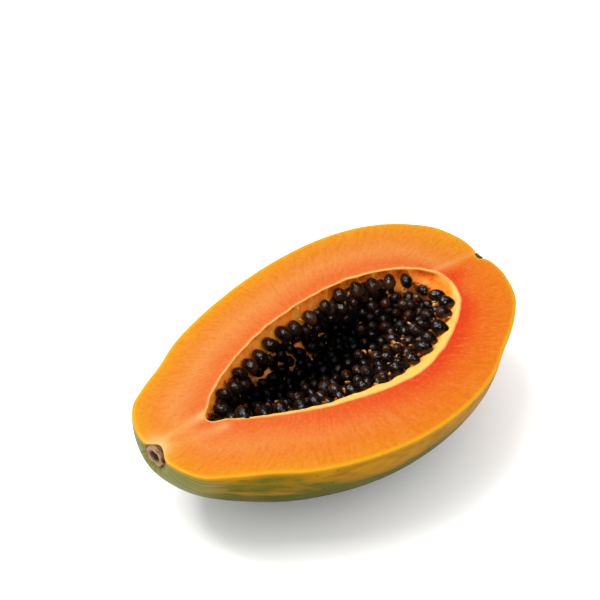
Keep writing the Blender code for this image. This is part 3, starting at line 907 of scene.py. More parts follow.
def flesh_material():
    """Wet orange flesh: the eye knows it by its turn from yellow rim to red and its outward fibres."""
    material, tree = new_material("ripe papaya flesh")
    where = add_node(tree, "ShaderNodeTexCoord", output="Object")
    fibre_place = add_node(tree, "ShaderNodeAttribute", {"attribute_name": "cut_place"}, output="Vector")
    ripe, red, strand, from_skin, from_cavity = (
        add_node(tree, "ShaderNodeAttribute", {"attribute_name": name}, output="Fac")
        for name in ("ripeness", "redness", "strand", "from_skin", "from_cavity")
    )
    fine = {"Vector": where, "Scale": 1 / MOTTLE, "Detail": 4.0}
    mottle = add_node(tree, "ShaderNodeTexNoise", None, fine)
    clouds = add_node(tree, "ShaderNodeTexNoise", None, {"Vector": where, "Scale": 1 / CLOUD, "Detail": 2.0})
    fibres = add_node(tree, "ShaderNodeTexNoise", None, {"Vector": fibre_place, "Scale": 1.0, "Detail": 3.0})
    wander = add_node(tree, "ShaderNodeMapRange", None, {"Value": clouds, "To Min": -0.08, "To Max": 0.08})
    share = add_node(tree, "ShaderNodeMath", {"operation": "ADD"}, {0: ripe, 1: wander})
    light = add_node(
        tree, "ShaderNodeValToRGB", None, {"Fac": share},
        stops=[
            (0.00, "B97E00"), (0.08, "B97600"), (0.20, "B66E0B"), (0.35, "B76A1D"),
            (0.55, "B77231"), (0.72, "B7682B"), (0.86, "B55A1D"), (1.00, "B75C23"),
        ],
    )
    deep = add_node(
        tree, "ShaderNodeValToRGB", None, {"Fac": share},
        stops=[
            (0.00, "B07200"), (0.08, "B56000"), (0.20, "B85C00"), (0.35, "B75600"),
            (0.52, "B75201"), (0.68, "B74300"), (0.84, "B43000"), (1.00, "B52B00"),
        ],
    )

    grain = add_node(tree, "ShaderNodeMath", {"operation": "ADD"}, {0: mottle, 1: fibres})
    high = {"Value": grain, "From Min": 1.0, "From Max": 1.5, "To Max": 0.3}
    pale = add_node(tree, "ShaderNodeMapRange", None, high)
    low = {"Value": grain, "From Min": 1.0, "From Max": 0.6, "To Max": 0.4}
    dark = add_node(tree, "ShaderNodeMapRange", None, low)
    rim = add_node(tree, "ShaderNodeMapRange", None, {"Value": from_skin, "From Min": 1.9, "From Max": 0.5})
    near_rim = {0: clouds, 1: 0.5, 2: from_cavity}
    halo = add_node(tree, "ShaderNodeMath", {"operation": "MULTIPLY_ADD"}, near_rim)
    halo = add_node(
        tree, "ShaderNodeMapRange", {"interpolation_type": "SMOOTHSTEP"},
        {"Value": halo, "From Min": 1.3, "From Max": 0.5},
    )

    colour = light
    for share, tint in (
        (red, deep), (pale, "BA8152"), (dark, "A83A00"),
        (rim, "BA8400"), (strand, "B9975C"), (halo, "B88A4C"),
    ):
        layer = {MIX_SHARE: share, MIX_A: colour, MIX_B: tint}
        colour = add_node(tree, "ShaderNodeMix", COLOUR_MIX, layer, MIX_COLOUR)

    bump = add_node(tree, "ShaderNodeBump", None, {"Height": grain, "Strength": 0.30, "Distance": 0.2 * MM})
    shader = add_node(
        tree, "ShaderNodeBsdfPrincipled", None,
        {
            "Base Color": colour, "Normal": bump, "Roughness": 0.42, "IOR": 1.37, "Specular IOR Level": 0.25,
            "Subsurface Weight": 0.30, "Subsurface Radius": (1.0, 0.40, 0.12), "Subsurface Scale": 2 * MM,
        },
    )
    add_node(tree, "ShaderNodeOutputMaterial", None, {"Surface": shader})
    return material


# %% [markdown]
# ## Lining finish
#
# The cavity is lined with a soft cream skin. Where seeds have pressed into it the orange flesh
# shows through, and the deeper it goes the wetter it is. Under the lip and lower on the shelf it
# is also painted darker orange, which is painted shade in those recesses. How deep a point lies
# in its alcove, with that painted shade, is stored on the mesh.

# %% Cavity lining
BLOTCH = 3.2 * MM
VEIN = 1.3 * MM


def lining_material():
    """Soft wet lining: cream ridges and orange alcoves with painted shade, which set the seeds off from the
    flesh.
    """
    material, tree = new_material("soft cavity lining")
    where = add_node(tree, "ShaderNodeTexCoord", output="Object")
    # The stored share mixes the orange of the flesh with painted shade under the lip and down the shelf.
    depth = add_node(tree, "ShaderNodeAttribute", {"attribute_name": "orange"}, output="Fac")
    coarse = {"Vector": where, "Scale": 1 / BLOTCH, "Detail": 3.0}
    blotch = add_node(tree, "ShaderNodeTexNoise", None, coarse)
    veins = add_node(
        tree, "ShaderNodeTexNoise", None,
        {"Vector": where, "Scale": 1 / VEIN, "Detail": 3.0, "Distortion": 0.6},
    )
    spread = add_node(tree, "ShaderNodeMapRange", None, {"Value": blotch, "To Min": -0.42, "To Max": 0.42})
    orange = add_node(tree, "ShaderNodeMath", {"operation": "ADD"}, {0: depth, 1: spread})
    spread = add_node(tree, "ShaderNodeMapRange", None, {"Value": veins, "To Min": -0.24, "To Max": 0.24})
    orange = add_node(tree, "ShaderNodeMath", {"operation": "ADD"}, {0: orange, 1: spread})
    # The darker stops at the orange end of this ramp carry the painted shade.
    colour = add_node(
        tree, "ShaderNodeValToRGB", None, {"Fac": orange},
        stops=[
            (0.00, "DCA45A"), (0.20, "F2A648"), (0.40, "FFA23A"),
            (0.60, "FF9028"), (0.80, "FA7A1A"), (1.00, "C8580E"),
        ],
    )
    bump = add_node(tree, "ShaderNodeBump", None, {"Height": veins, "Strength": 0.5, "Distance": 0.5 * MM})
    shader = add_node(
        tree, "ShaderNodeBsdfPrincipled", None,
        {
            "Base Color": colour, "Normal": bump, "Roughness": 0.36, "IOR": 1.37, "Specular IOR Level": 0.35,
            "Subsurface Weight": 0.45, "Subsurface Radius": (1.0, 0.45, 0.15), "Subsurface Scale": 1.8 * MM,
            "Coat Weight": 0.20, "Coat Roughness": 0.12,
        },
    )
    add_node(tree, "ShaderNodeOutputMaterial", None, {"Surface": shader})
    return material


# %% [markdown]
# ## What the mesh remembers
#
# The finishes above read a few numbers at each vertex. They are worked out here, once the body is
# an object: where a point is on the skin, how green the skin is there, where the skin gets its
# painted shade and its painted highlight, how ripe and red the flesh is, and how deep an alcove
# is, which also sets the lining's painted shade.

# %% Make the fruit and store its numbers
fruit = finish_piece("fruit", fruit_bm, [skin_material(), flesh_material(), lining_material()])
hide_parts("fruit_half")

SKIN_GIRTH = 50
# Depths below the cut over which the painted highlight on the skin fades out.
EDGE_HIGHLIGHT_DEPTHS = (0.2 * MM, 2.2 * MM)
# How strong the painted shade on the belly is, and between which depths below the cut it comes in.
BELLY_SHADE_SHARE = 0.85
BELLY_SHADE_DEPTHS = (14 * MM, 44 * MM)
CUT_FIBRE_WIDTH = 0.9
CUT_FIBRE_LENGTH = 5.0
FIBRE_STRETCH = 2.2
FIBRE_GIRTH = 60
UNRIPE_STALK = (10 * MM, 80 * MM)
UNRIPE_NEAR = (-10 * MM, 30 * MM)
UNRIPE_END = (25 * MM, 70 * MM)
UNRIPE_DEPTHS = (0.05, 0.50)
STALK_GREEN = (74 * MM, 94 * MM)
BLOSSOM_WARM = (30 * MM, 78 * MM)
BLOSSOM_WARM_SHARE = 0.85
RED_NEAR = (-14 * MM, 20 * MM)
RED_BLOSSOM = (-70 * MM, 50 * MM)
YELLOW_BLOSSOM = (62 * MM, 80 * MM)
RED_PATCH = (78 * MM, -2 * MM)
RED_PATCH_LENGTH = 11
RED_PATCH_WIDTH = 5
ALCOVE_TURNS = (0.35, 0.85)
LIP_DEPTHS = (0.5 * MM, 1.6 * MM)
POCKET_FADE = (3 * MM, 8 * MM)
SHELF_DEPTHS = (0.8 * MM, 4 * MM)
FAR_WALL_SHARES = (0.10, 0.30)


def skin_place(point):
    """Millimetres along the fruit and round its back, with the same girth everywhere."""
    swing = math.atan2(CUT_HEIGHT - point.z, point.y - AXIS_OFFSET)
    return point.x / MM, swing * SKIN_GIRTH, 0.0


def unripe_share(point):
    """How green the skin tends to be: on the belly and towards the stalk."""
    depth = (CUT_HEIGHT - point.z) / CUT_HEIGHT
    stalk = smooth_step(-point.x, *UNRIPE_STALK)
    near = smooth_step(AXIS_OFFSET - point.y, *UNRIPE_NEAR)
    warm = smooth_step(point.x, *UNRIPE_END)
    belly = smooth_step(depth, *UNRIPE_DEPTHS)
    return belly * (0.60 + 0.35 * near) * (1 - 0.75 * warm) + 0.25 * stalk


def red_patch(point):
    """The red patch of flesh at the blossom end, 1 in its middle."""
    along = (point.x - RED_PATCH[0]) / RED_PATCH_LENGTH
    aside = (point.y - AXIS_OFFSET - RED_PATCH[1]) / RED_PATCH_WIDTH
    return bell(math.hypot(along, aside), MM)


def redness(point):
    """How red the flesh is: most on the near side towards the blossom end, least at the stalk."""
    near = smooth_step(AXIS_OFFSET - point.y, *RED_NEAR)
    blossom = smooth_step(point.x, *RED_BLOSSOM)
    return min(1.0, (0.30 + 0.70 * blossom) * (0.12 + 0.88 * near) + 0.55 * red_patch(point))


def ripeness(point, from_skin, from_cavity):
    """0 at the skin and 1 at the cavity; at the blossom end the flesh stays yellow further inward."""
    share = from_skin / (from_skin + from_cavity)
    blossom = smooth_step(point.x, *YELLOW_BLOSSOM)
    return share * (1 - 0.35 * blossom) + 0.25 * red_patch(point)


def fibre_place(point, from_cavity):
    """Coordinates that run round the cavity and outward from it, so that grain can point outward."""
    angle = math.atan2((point.y - AXIS_OFFSET) * FIBRE_STRETCH, point.x)
    girth = FIBRE_GIRTH / CUT_FIBRE_WIDTH
    return girth * math.cos(angle), girth * math.sin(angle), from_cavity / MM / CUT_FIBRE_LENGTH


def orange_and_shade_share(point):
    """How orange the lining is painted, painted shade included: most in an alcove just under the lip, least
    on ridges and the lip.
    """
    depth = CUT_HEIGHT - point.z
    across, _ = valley_share(point.x, point.y - AXIS_OFFSET)
    far = 1 - smooth_step(across, *FAR_WALL_SHARES)
    pocket = smooth_step(alcove_share(point.x), *ALCOVE_TURNS) * smooth_step(depth, *LIP_DEPTHS)
    pocket *= 1 - 0.45 * smooth_step(depth, *POCKET_FADE)
    # Painted shade: the near shelf turns darker orange further down, and the far wall just under the lip
    # does too.
    near = 0.16 + 0.44 * smooth_step(depth, *SHELF_DEPTHS)
    under = 0.20 * smooth_step(depth, *LIP_DEPTHS)
    return far * (0.08 + under + 0.55 * pocket) + (1 - far) * near


points = [vert.co.copy() for vert in fruit.data.vertices]
edges = [edge_distances(point) for point in points]
places = list(zip(points, edges))
depths = [CUT_HEIGHT - point.z for point in points]
store(fruit.data, "skin_place", [skin_place(point) for point in points], "FLOAT_VECTOR")
store(fruit.data, "unripe", [unripe_share(point) for point in points])
store(fruit.data, "stalk_green", [smooth_step(-point.x, *STALK_GREEN) for point in points])
warmths = [BLOSSOM_WARM_SHARE * smooth_step(point.x, *BLOSSOM_WARM) for point in points]
store(fruit.data, "blossom_warm", warmths)
# Painted shade: the skin is painted darker lower down, from 14 to 44 mm below the cut.
store(fruit.data, "belly", [BELLY_SHADE_SHARE * smooth_step(depth, *BELLY_SHADE_DEPTHS) for depth in depths])
# Painted highlight: the top 2 mm of the skin under the cut are painted a lighter gold.
store(fruit.data, "edge_gold", [1 - smooth_step(depth, *EDGE_HIGHLIGHT_DEPTHS) for depth in depths])
store(fruit.data, "from_skin", [skin / MM for skin, _ in edges])
store(fruit.data, "from_cavity", [cavity / MM for _, cavity in edges])
store(fruit.data, "ripeness", [ripeness(point, skin, cavity) for point, (skin, cavity) in places])
store(fruit.data, "redness", [redness(point) for point in points])
store(fruit.data, "strand", [strand_share(point) for point in points])
store(fruit.data, "cut_place", [fibre_place(point, cavity) for point, (_, cavity) in places], "FLOAT_VECTOR")
store(fruit.data, "orange", [orange_and_shade_share(point) for point in points])
stored = sorted(layer.name for layer in fruit.data.attributes if not layer.name.startswith("."))
print("stored numbers", stored)

# %% [markdown]
# ## The seeds
#
# Each seed is a black, wrinkled stone in a clear wet sac. The sac is what shines. Three small eggs,
# each dented in its own way, are copied to every place, and one level of subdivision rounds them.
# Seeds deep in the valley are darker, because the wet sacs there get little light. Smaller seeds
# fill the gaps of the top layer and below it, apart from a bare strip along the rim and a bare
# corner at the blossom end.

# %% Seed finish
WRINKLE = 1.3 * MM


def seed_material():
    """Black wrinkled seed in a clear wet sac: the crisp glints on the sac are what makes it look wet."""
    material, tree = new_material("wet black papaya seed")
    where = add_node(tree, "ShaderNodeTexCoord", output="Object")
    depth, amber = (
        add_node(tree, "ShaderNodeAttribute", {"attribute_name": name}, output="Fac")
        for name in ("depth", "amber")
    )
    wrinkles = add_node(
        tree, "ShaderNodeTexNoise", None,
        {"Vector": where, "Scale": 1 / WRINKLE, "Detail": 3.0, "Distortion": 1.0},
    )
    broad = {"Vector": where, "Scale": 0.9 / WRINKLE, "Detail": 2.0}
    waves = add_node(tree, "ShaderNodeTexNoise", None, broad)
    tone = add_node(
        tree, "ShaderNodeValToRGB", None, {"Fac": wrinkles},
        stops=[(0.38, "050302"), (0.54, "0C0705"), (0.72, "22150D")],
    )
    gel = add_node(tree, "ShaderNodeMath", {"operation": "MULTIPLY"}, {0: amber, 1: wrinkles})
    colour = tone
    # Deep in the valley the seeds are painted near black, as painted shade.
    for share, tint in ((gel, "5C2F0C"), (depth, "020101")):
        layer = {MIX_SHARE: share, MIX_A: colour, MIX_B: tint}
        colour = add_node(tree, "ShaderNodeMix", COLOUR_MIX, layer, MIX_COLOUR)
    wrinkled = {"Height": wrinkles, "Strength": 0.8, "Distance": 0.5 * MM}
    bump = add_node(tree, "ShaderNodeBump", None, wrinkled)
    smooth = add_node(tree, "ShaderNodeBump", None, {"Height": waves, "Strength": 0.9, "Distance": 0.8 * MM})
    wet = add_node(tree, "ShaderNodeMapRange", None, {"Value": depth, "To Min": 0.90, "To Max": 0.08})
    gloss = add_node(tree, "ShaderNodeMapRange", None, {"Value": depth, "To Min": 0.15, "To Max": 0.02})
    shader = add_node(
        tree, "ShaderNodeBsdfPrincipled", None,
        {
            "Base Color": colour, "Normal": bump, "Roughness": 0.30, "IOR": 1.45,
            "Specular IOR Level": gloss,
            "Coat Weight": wet, "Coat Roughness": 0.05, "Coat IOR": 1.45, "Coat Normal": smooth,
        },
    )
    add_node(tree, "ShaderNodeOutputMaterial", None, {"Surface": shader})
    return material


# %% Seed meshes
SEED_SIDES = 8
SEED_RINGS = 6
SEED_TAPERS = (0.14, 0.26, 0.38)
PEAR_TIP = 0.1
SEED_DENT = 0.13
DENT_LENGTH = 0.45
ROUNDING_LOSS = 1.06
SMALL_SEED_DROPS = (0.2 * MM, 2.4 * MM)
SMALL_SEED_SIZES = (0.66, 0.92)
SMALL_SEED_DRAWS = 4000
SMALL_SEED_CROWDING = 0.66
SMALL_SEED_TURNS = (0.15, 2.75)
FAR_SMALL_SEED_END = 2.45
SMALL_SEED_SHARE = 0.12
PEAR_SHARE = 0.7
SHADE_DEPTH_START = 8.0 * MM
SHADE_DEPTH_END = 13.5 * MM


def egg(taper):
    """A seed of unit size: a ball with few faces, narrowed to its tip and dented a little."""
    bm = bmesh.new()
    bmesh.ops.create_uvsphere(bm, u_segments=SEED_SIDES, v_segments=SEED_RINGS, radius=ROUNDING_LOSS / 2)
    for vert in bm.verts:
        dent = 1 + SEED_DENT * noise.noise(vert.co / DENT_LENGTH + Vector((taper, 0, 0)) / MM)
        vert.co.xy *= 1 - taper * vert.co.z
        vert.co *= dent
        vert.co.z += PEAR_TIP * taper * max(vert.co.z, 0.0)
    mesh = bpy.data.meshes.new("egg")
    bm.to_mesh(mesh)
    bm.free()
    return mesh


def small_seeds(spots):
    """Smaller seeds, drawn where no other seed is near, from the top layer to a little below it."""
    draw = random.Random(RANDOM_SEED + 1)
    made = []
    for _ in range(SMALL_SEED_DRAWS):
        edge = draw.choice((-1, 1))
        share = draw.uniform(0.0, 1.0)
        turn = draw.uniform(*SMALL_SEED_TURNS)
        place = row_point(turn, edge, share)
        drop = draw.uniform(*SMALL_SEED_DROPS)
        middle = Vector((place.x, place.y, bed_height(place.x, place.y) + SEED_LIFT - drop))
        tip = Vector((draw.uniform(-1, 1), draw.uniform(-1, 1), draw.uniform(-1, 1))).normalized()
        size = draw.uniform(*SMALL_SEED_SIZES)
        bare = share < SMALL_SEED_SHARE or (edge > 0 and turn > FAR_SMALL_SEED_END)
        if bare or not inside_cavity(middle):
            continue
        if all((middle - other.middle).length > SMALL_SEED_CROWDING * SEED_PITCH for other in spots + made):
            made.append(Seed(middle, tip, size, edge, share))
    return made


def seed_mass():
    draw = random.Random(RANDOM_SEED + 5)
    eggs = [egg(taper) for taper in SEED_TAPERS]
    bm = bmesh.new()
    lower = small_seeds(LOOSE_SEEDS)
    depths = []
    ambers = []
    for seed in LOOSE_SEEDS + lower:
        near_rim = seed.share == 0 and seed.edge < 0
        shape = eggs[2] if near_rim and draw.random() < PEAR_SHARE else draw.choice(eggs[:2])
        add_copy(bm, shape, Matrix.Translation(CUT_CENTRE) @ seed_stand(seed.middle, seed.tip, seed.size))
        # How much painted shade a seed gets, from how deep in the valley it lies.
        depth = smooth_step(-seed.middle.z, SHADE_DEPTH_START, SHADE_DEPTH_END)
        amber = draw.uniform(0.0, 1.0) ** 2
        for vert in shape.vertices:
            depths.append(depth)
            ambers.append(amber * smooth_step(-vert.co.z, -0.1, 0.45))
    print("small seeds", len(lower))
    for shape in eggs:
        bpy.data.meshes.remove(shape)
    piece = finish_piece("seed_mass", bm, [seed_material()], rounded=True)
    store(piece.data, "depth", depths)
    store(piece.data, "amber", ambers)
    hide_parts("seeds")


seed_mass()

# %% [markdown]
# ## The bed under the seeds
#
# Between the seeds one sees dark wet pulp and the shade among the seeds. Both are one closed slab
# that follows the heap a little below the seeds and ends inside the flesh, where nobody sees its
# edge. Its dark colour is partly the pulp's and partly painted shade, and deep in the valley it is
# painted near black as painted shade. At the blossom end it sinks, because the wall is bare there.

# %% Wet pulp bed
BED_STATIONS = 90
BED_ARCS = 44
BED_OVERREACH = 1.02
BED_SINK = 2.6 * MM
BED_END_SINK = 4.0 * MM
BED_END_PLACES = (50 * MM, 62 * MM)
BED_THICKNESS = 4.0 * MM
BED_ROUGHNESS = 0.8 * MM
BED_GRAIN = 4.0 * MM
PULP_LUMP = 2.2 * MM


def pulp_and_shade_material():
    """Dark wet pulp and painted shade between the seeds: it hides the floor and lets the seeds stand out."""
    material, tree = new_material("wet seed pulp")
    where = add_node(tree, "ShaderNodeTexCoord", output="Object")
    depth = add_node(tree, "ShaderNodeAttribute", {"attribute_name": "depth"}, output="Fac")
    coarse = {"Vector": where, "Scale": 1 / PULP_LUMP, "Detail": 3.0}
    lumps = add_node(tree, "ShaderNodeTexNoise", None, coarse)
    colour = add_node(
        tree, "ShaderNodeValToRGB", None, {"Fac": lumps},
        stops=[(0.42, "0A0504"), (0.58, "241108"), (0.74, "7A4414")],
    )
    # Deep in the valley the pulp is painted near black, as painted shade.
    layer = {MIX_SHARE: depth, MIX_A: colour, MIX_B: "030202"}
    colour = add_node(tree, "ShaderNodeMix", COLOUR_MIX, layer, MIX_COLOUR)
    bump = add_node(tree, "ShaderNodeBump", None, {"Height": lumps, "Strength": 0.7, "Distance": 0.8 * MM})
    wet = add_node(tree, "ShaderNodeMapRange", None, {"Value": depth, "To Min": 0.35, "To Max": 0.05})
    shader = add_node(
        tree, "ShaderNodeBsdfPrincipled", None,
        {
            "Base Color": colour, "Normal": bump, "Roughness": 0.45, "Specular IOR Level": wet,
            "Coat Weight": wet, "Coat Roughness": 0.15,
        },
    )
    add_node(tree, "ShaderNodeOutputMaterial", None, {"Surface": shader})
    return material


def pulp_bed():
    bm = bmesh.new()
    bmesh.ops.create_grid(bm, x_segments=BED_STATIONS, y_segments=BED_ARCS, size=1.0)
    for vert in bm.verts:
        turn = math.pi * (vert.co.x + 1) / 2
        x, middle, radius = cavity_station(turn, 0.0)
        x = CAVITY_MIDDLE + (x - CAVITY_MIDDLE) * BED_OVERREACH
        y = middle + vert.co.y * (radius * BED_OVERREACH + WALL_GAP)
        height = bed_height(x, y) - BED_SINK - BED_END_SINK * smooth_step(x, *BED_END_PLACES)
        lump = BED_ROUGHNESS * noise.noise(Vector((x, y, 0)) / BED_GRAIN)
        vert.co = placed(x, y, height + lump)
    pushed = bmesh.ops.extrude_face_region(bm, geom=list(bm.faces))
    bottom = [item for item in pushed["geom"] if isinstance(item, bmesh.types.BMVert)]
    bmesh.ops.translate(bm, verts=bottom, vec=(0, 0, -BED_THICKNESS))
    piece = finish_piece("pulp_bed", bm, [pulp_and_shade_material()])
    # How much painted shade the slab gets, from how deep it lies.
    drops = [CUT_HEIGHT - BED_SINK - vert.co.z for vert in piece.data.vertices]
    store(piece.data, "depth", [smooth_step(drop, SHADE_DEPTH_START, SHADE_DEPTH_END) for drop in drops])


pulp_bed()

# %% [markdown]
# ## Seed stalks and scraps of pulp
#
# Each seed hangs on a short stalk, and shreds of amber pulp cling between the seeds. All are copies
# of one small drop, soft and wet. The pale stalks of the near row share the finish of the lining.
# The amber ones have their own, which lets more light through.

# %% Stalks and amber pulp
SCRAPS = 230
SCRAP_SIZES = (0.8 * MM, 2.0 * MM)
SCRAP_SLENDERNESS = 0.55
STALK_RADIUS = 0.75 * MM
STALK_REACH = 3.6 * MM
STALK_ORANGE = 0.22
PALE_STALK_DROP = 1.2 * MM
PALE_STALK_RISE = 0.4 * MM
PALE_STALK_WIDTH = 2.2 * STALK_RADIUS
PALE_STALK_THICKNESS = 1.4 * STALK_RADIUS
SCRAP_TURNS = (0.15, 3.0)
SCRAP_LIFTS = (0.0, 1.6 * MM)
AMBER_TONE = 3 * MM


def amber_material():
    """Amber pulp: glassy scraps that glow where light passes through them."""
    material, tree = new_material("amber seed pulp")
    where = add_node(tree, "ShaderNodeTexCoord", output="Object")
    cloudy = {"Vector": where, "Scale": 1 / AMBER_TONE, "Detail": 2.0}
    tone = add_node(tree, "ShaderNodeTexNoise", None, cloudy)
    colour = add_node(
        tree, "ShaderNodeValToRGB", None, {"Fac": tone},
        stops=[(0.32, "5A2C0A"), (0.50, "A0601C"), (0.68, "D8A058")],
    )
    bump = add_node(tree, "ShaderNodeBump", None, {"Height": tone, "Strength": 0.4, "Distance": 0.5 * MM})
    shader = add_node(
        tree, "ShaderNodeBsdfPrincipled", None,
        {
            "Base Color": colour, "Normal": bump, "Roughness": 0.25, "IOR": 1.37,
            "Subsurface Weight": 0.5, "Subsurface Radius": (1.0, 0.5, 0.15), "Subsurface Scale": 1.5 * MM,
            "Coat Weight": 0.6, "Coat Roughness": 0.08,
        },
    )
    add_node(tree, "ShaderNodeOutputMaterial", None, {"Surface": shader})
    return material


def drop_mesh():
    """A small drop of unit length along Z, thick at its lower end."""
    bm = bmesh.new()
    bmesh.ops.create_uvsphere(bm, u_segments=6, v_segments=5, radius=0.5)
    for vert in bm.verts:
        vert.co.xy *= 2 * (0.75 - 0.6 * vert.co.z)
    mesh = bpy.data.meshes.new("drop")
    bm.to_mesh(mesh)
    bm.free()
    return mesh


def reach_stand(start, end, width, thickness):
    """The matrix that lays a drop from one point to another, wide sideways and thin from above."""
    way = end - start
    turned = way.to_track_quat("Z", "Y").to_matrix().to_4x4()
    return Matrix.Translation(start + way / 2) @ turned @ Matrix.Diagonal((width, thickness, way.length, 1))


DROP = drop_mesh()


def pale_stalks():
    """Pale stalks that hold the seeds of the near row."""
    draw = random.Random(RANDOM_SEED + 4)
    bm = bmesh.new()
    for seed in NEAR_RIM_SEEDS:
        outward = Vector((OUTWARD_FAN * seed.middle.x, -OUTWARD_REACH, 0)).normalized()
        end = CUT_CENTRE + seed.middle + Vector((draw.uniform(-1, 1) * MM, 0, -PALE_STALK_DROP))
        start = end + outward * STALK_REACH + Vector((0, 0, PALE_STALK_RISE))
        add_copy(bm, DROP, reach_stand(start, end, PALE_STALK_WIDTH, PALE_STALK_THICKNESS))
    piece = finish_piece("pale_stalks", bm, [fruit.data.materials[2]], rounded=True)
    store(piece.data, "orange", [STALK_ORANGE] * len(piece.data.vertices))


def amber_pulp():
    """Scraps of amber pulp between the seeds and stalks behind the far ones."""
    draw = random.Random(RANDOM_SEED + 2)
    bm = bmesh.new()
    for seed in FAR_RIM_SEEDS:
        outward = Vector((OUTWARD_FAN * seed.middle.x, OUTWARD_REACH, 0)).normalized()
        end = CUT_CENTRE + seed.middle + Vector((0, 0, -1.0 * MM))
        start = end + outward * STALK_REACH + Vector((draw.uniform(-1, 1) * MM, 0, -0.8 * MM))
        add_copy(bm, DROP, reach_stand(start, end, 2 * STALK_RADIUS, 2 * STALK_RADIUS))
    for _ in range(SCRAPS):
        edge = draw.choice((-1, -1, 1))
        share = draw.uniform(0.0, 0.75) ** 1.6
        place = row_point(draw.uniform(*SCRAP_TURNS), edge, share)
        height = bed_height(place.x, place.y) + draw.uniform(*SCRAP_LIFTS)
        middle = placed(place.x, place.y, height)
        size = draw.uniform(*SCRAP_SIZES)
        lean = Vector((draw.uniform(-1, 1), draw.uniform(-1, 1), draw.uniform(-0.4, 0.4))).normalized()
        ends = lean * size
        add_copy(bm, DROP, reach_stand(middle - ends, middle + ends, SCRAP_SLENDERNESS * size, size))
    piece = finish_piece("amber_pulp", bm, [amber_material()], rounded=True)


pale_stalks()
amber_pulp()
bpy.data.meshes.remove(DROP)

# %% [markdown]
# ## The stalk scar
#
# Where the fruit broke from its stalk a corky plug dried in a shallow dimple. The knife went
# through it. It is a round plug whose outer face has five blunt corners, a raised ring and a dark
# hollow, cut off at the cut face. The plug is a little smaller than its seat in the skin, because
# cork shrinks as it dries.

# %% Corky stalk scar
SCAR_SIDES = 40
SCAR_RINGS = 7
CORNERS = 5
CORNER_SHARE = 0.12
SCAR_CHAMFER = 0.8 * MM
CRUMB = 1.1 * MM
SCAR_TOP = 0.25 * MM


def cork_material(name, dark, middle, pale):
    """Dry cork: dull, cracked and two-toned, against the smooth skin around it."""
    material, tree = new_material(name)
    where = add_node(tree, "ShaderNodeTexCoord", output="Object")
    ring = add_node(tree, "ShaderNodeAttribute", {"attribute_name": "tone"}, output="Fac")
    crumbs = add_node(tree, "ShaderNodeTexNoise", None, {"Vector": where, "Scale": 1 / CRUMB, "Detail": 4.0})
    tone = add_node(tree, "ShaderNodeMath", {"operation": "ADD"}, {0: crumbs, 1: ring})
    tone = add_node(tree, "ShaderNodeMath", {"operation": "MULTIPLY"}, {0: tone, 1: 0.5})
    colour = add_node(
        tree, "ShaderNodeValToRGB", None, {"Fac": tone},
        stops=[(0.28, dark), (0.48, middle), (0.70, pale)],
    )
    bump = add_node(tree, "ShaderNodeBump", None, {"Height": crumbs, "Strength": 0.8, "Distance": 0.5 * MM})
    shader = add_node(
        tree, "ShaderNodeBsdfPrincipled", None,
        {"Base Color": colour, "Normal": bump, "Roughness": 0.85, "Specular IOR Level": 0.2},
    )
    add_node(tree, "ShaderNodeOutputMaterial", None, {"Surface": shader})
    return material


def scar_face(local, scar, rise, hollow):
    """A point of the plug's outer face, moved to give it a ring, a hollow, blunt corners and crumbs."""
    out = local.xy.length / scar.radius
    corner = math.cos(CORNERS * math.atan2(local.y, local.x))
    lump = noise.noise(Vector((local.x, local.y, 0)) / CRUMB)
    ring = bell(out - 0.74, 0.20)
    height = rise * ring * (0.7 + 0.3 * corner) - hollow * bell(out - 0.05, 0.34)
    height += 0.3 * MM * lump - SCAR_CHAMFER * smooth_step(out, 0.88, 1.0)
    growth = 1 + CORNER_SHARE * corner * out
    return Vector((local.x * growth, local.y * growth, local.z + height))


def scar_piece(name, node, scar, material, rise, hollow, inset):
    """A round plug with a rough outer face, cut off at the cut face."""
    bm = bmesh.new()
    bmesh.ops.create_circle(bm, cap_ends=True, segments=SCAR_SIDES, radius=scar.radius)
    pushed = bmesh.ops.extrude_face_region(bm, geom=list(bm.faces))
    top = [item for item in pushed["geom"] if isinstance(item, bmesh.types.BMVert)]
    bmesh.ops.translate(bm, verts=top, vec=(0, 0, scar.depth))
    face = max(bm.faces, key=lambda item: item.calc_center_median().z)
    for _ in range(SCAR_RINGS):
        bmesh.ops.inset_region(bm, faces=[face], thickness=scar.radius / (SCAR_RINGS + 1))
    for vert in bm.verts:
        if vert.co.z > scar.depth - MERGE_DISTANCE:
            vert.co = scar_face(vert.co, scar, rise, hollow)
    outward = Matrix.Rotation(scar.end * (math.pi / 2 + scar.tilt), 4, "Y")
    outer_end = LENGTH / 2 - scar.dimple - inset
    start = placed(scar.end * (outer_end - scar.depth), 0, -scar.drop)
    stand = Matrix.Translation(start) @ outward
    bmesh.ops.transform(bm, matrix=stand, verts=bm.verts)
    everything = list(bm.verts) + list(bm.edges) + list(bm.faces)
    bmesh.ops.bisect_plane(
        bm, geom=everything, plane_co=(0, 0, CUT_HEIGHT - SCAR_TOP), plane_no=(0, 0, 1), clear_outer=True
    )
    bmesh.ops.holes_fill(bm, edges=[edge for edge in bm.edges if edge.is_boundary], sides=0)
    piece = finish_piece(name, bm, [material])
    back = stand.inverted()
    outs = [(back @ vert.co).xy.length / scar.radius for vert in piece.data.vertices]
    store(piece.data, "tone", [0.1 + 0.9 * bell(out - 0.72, 0.24) for out in outs])
    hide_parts(node)


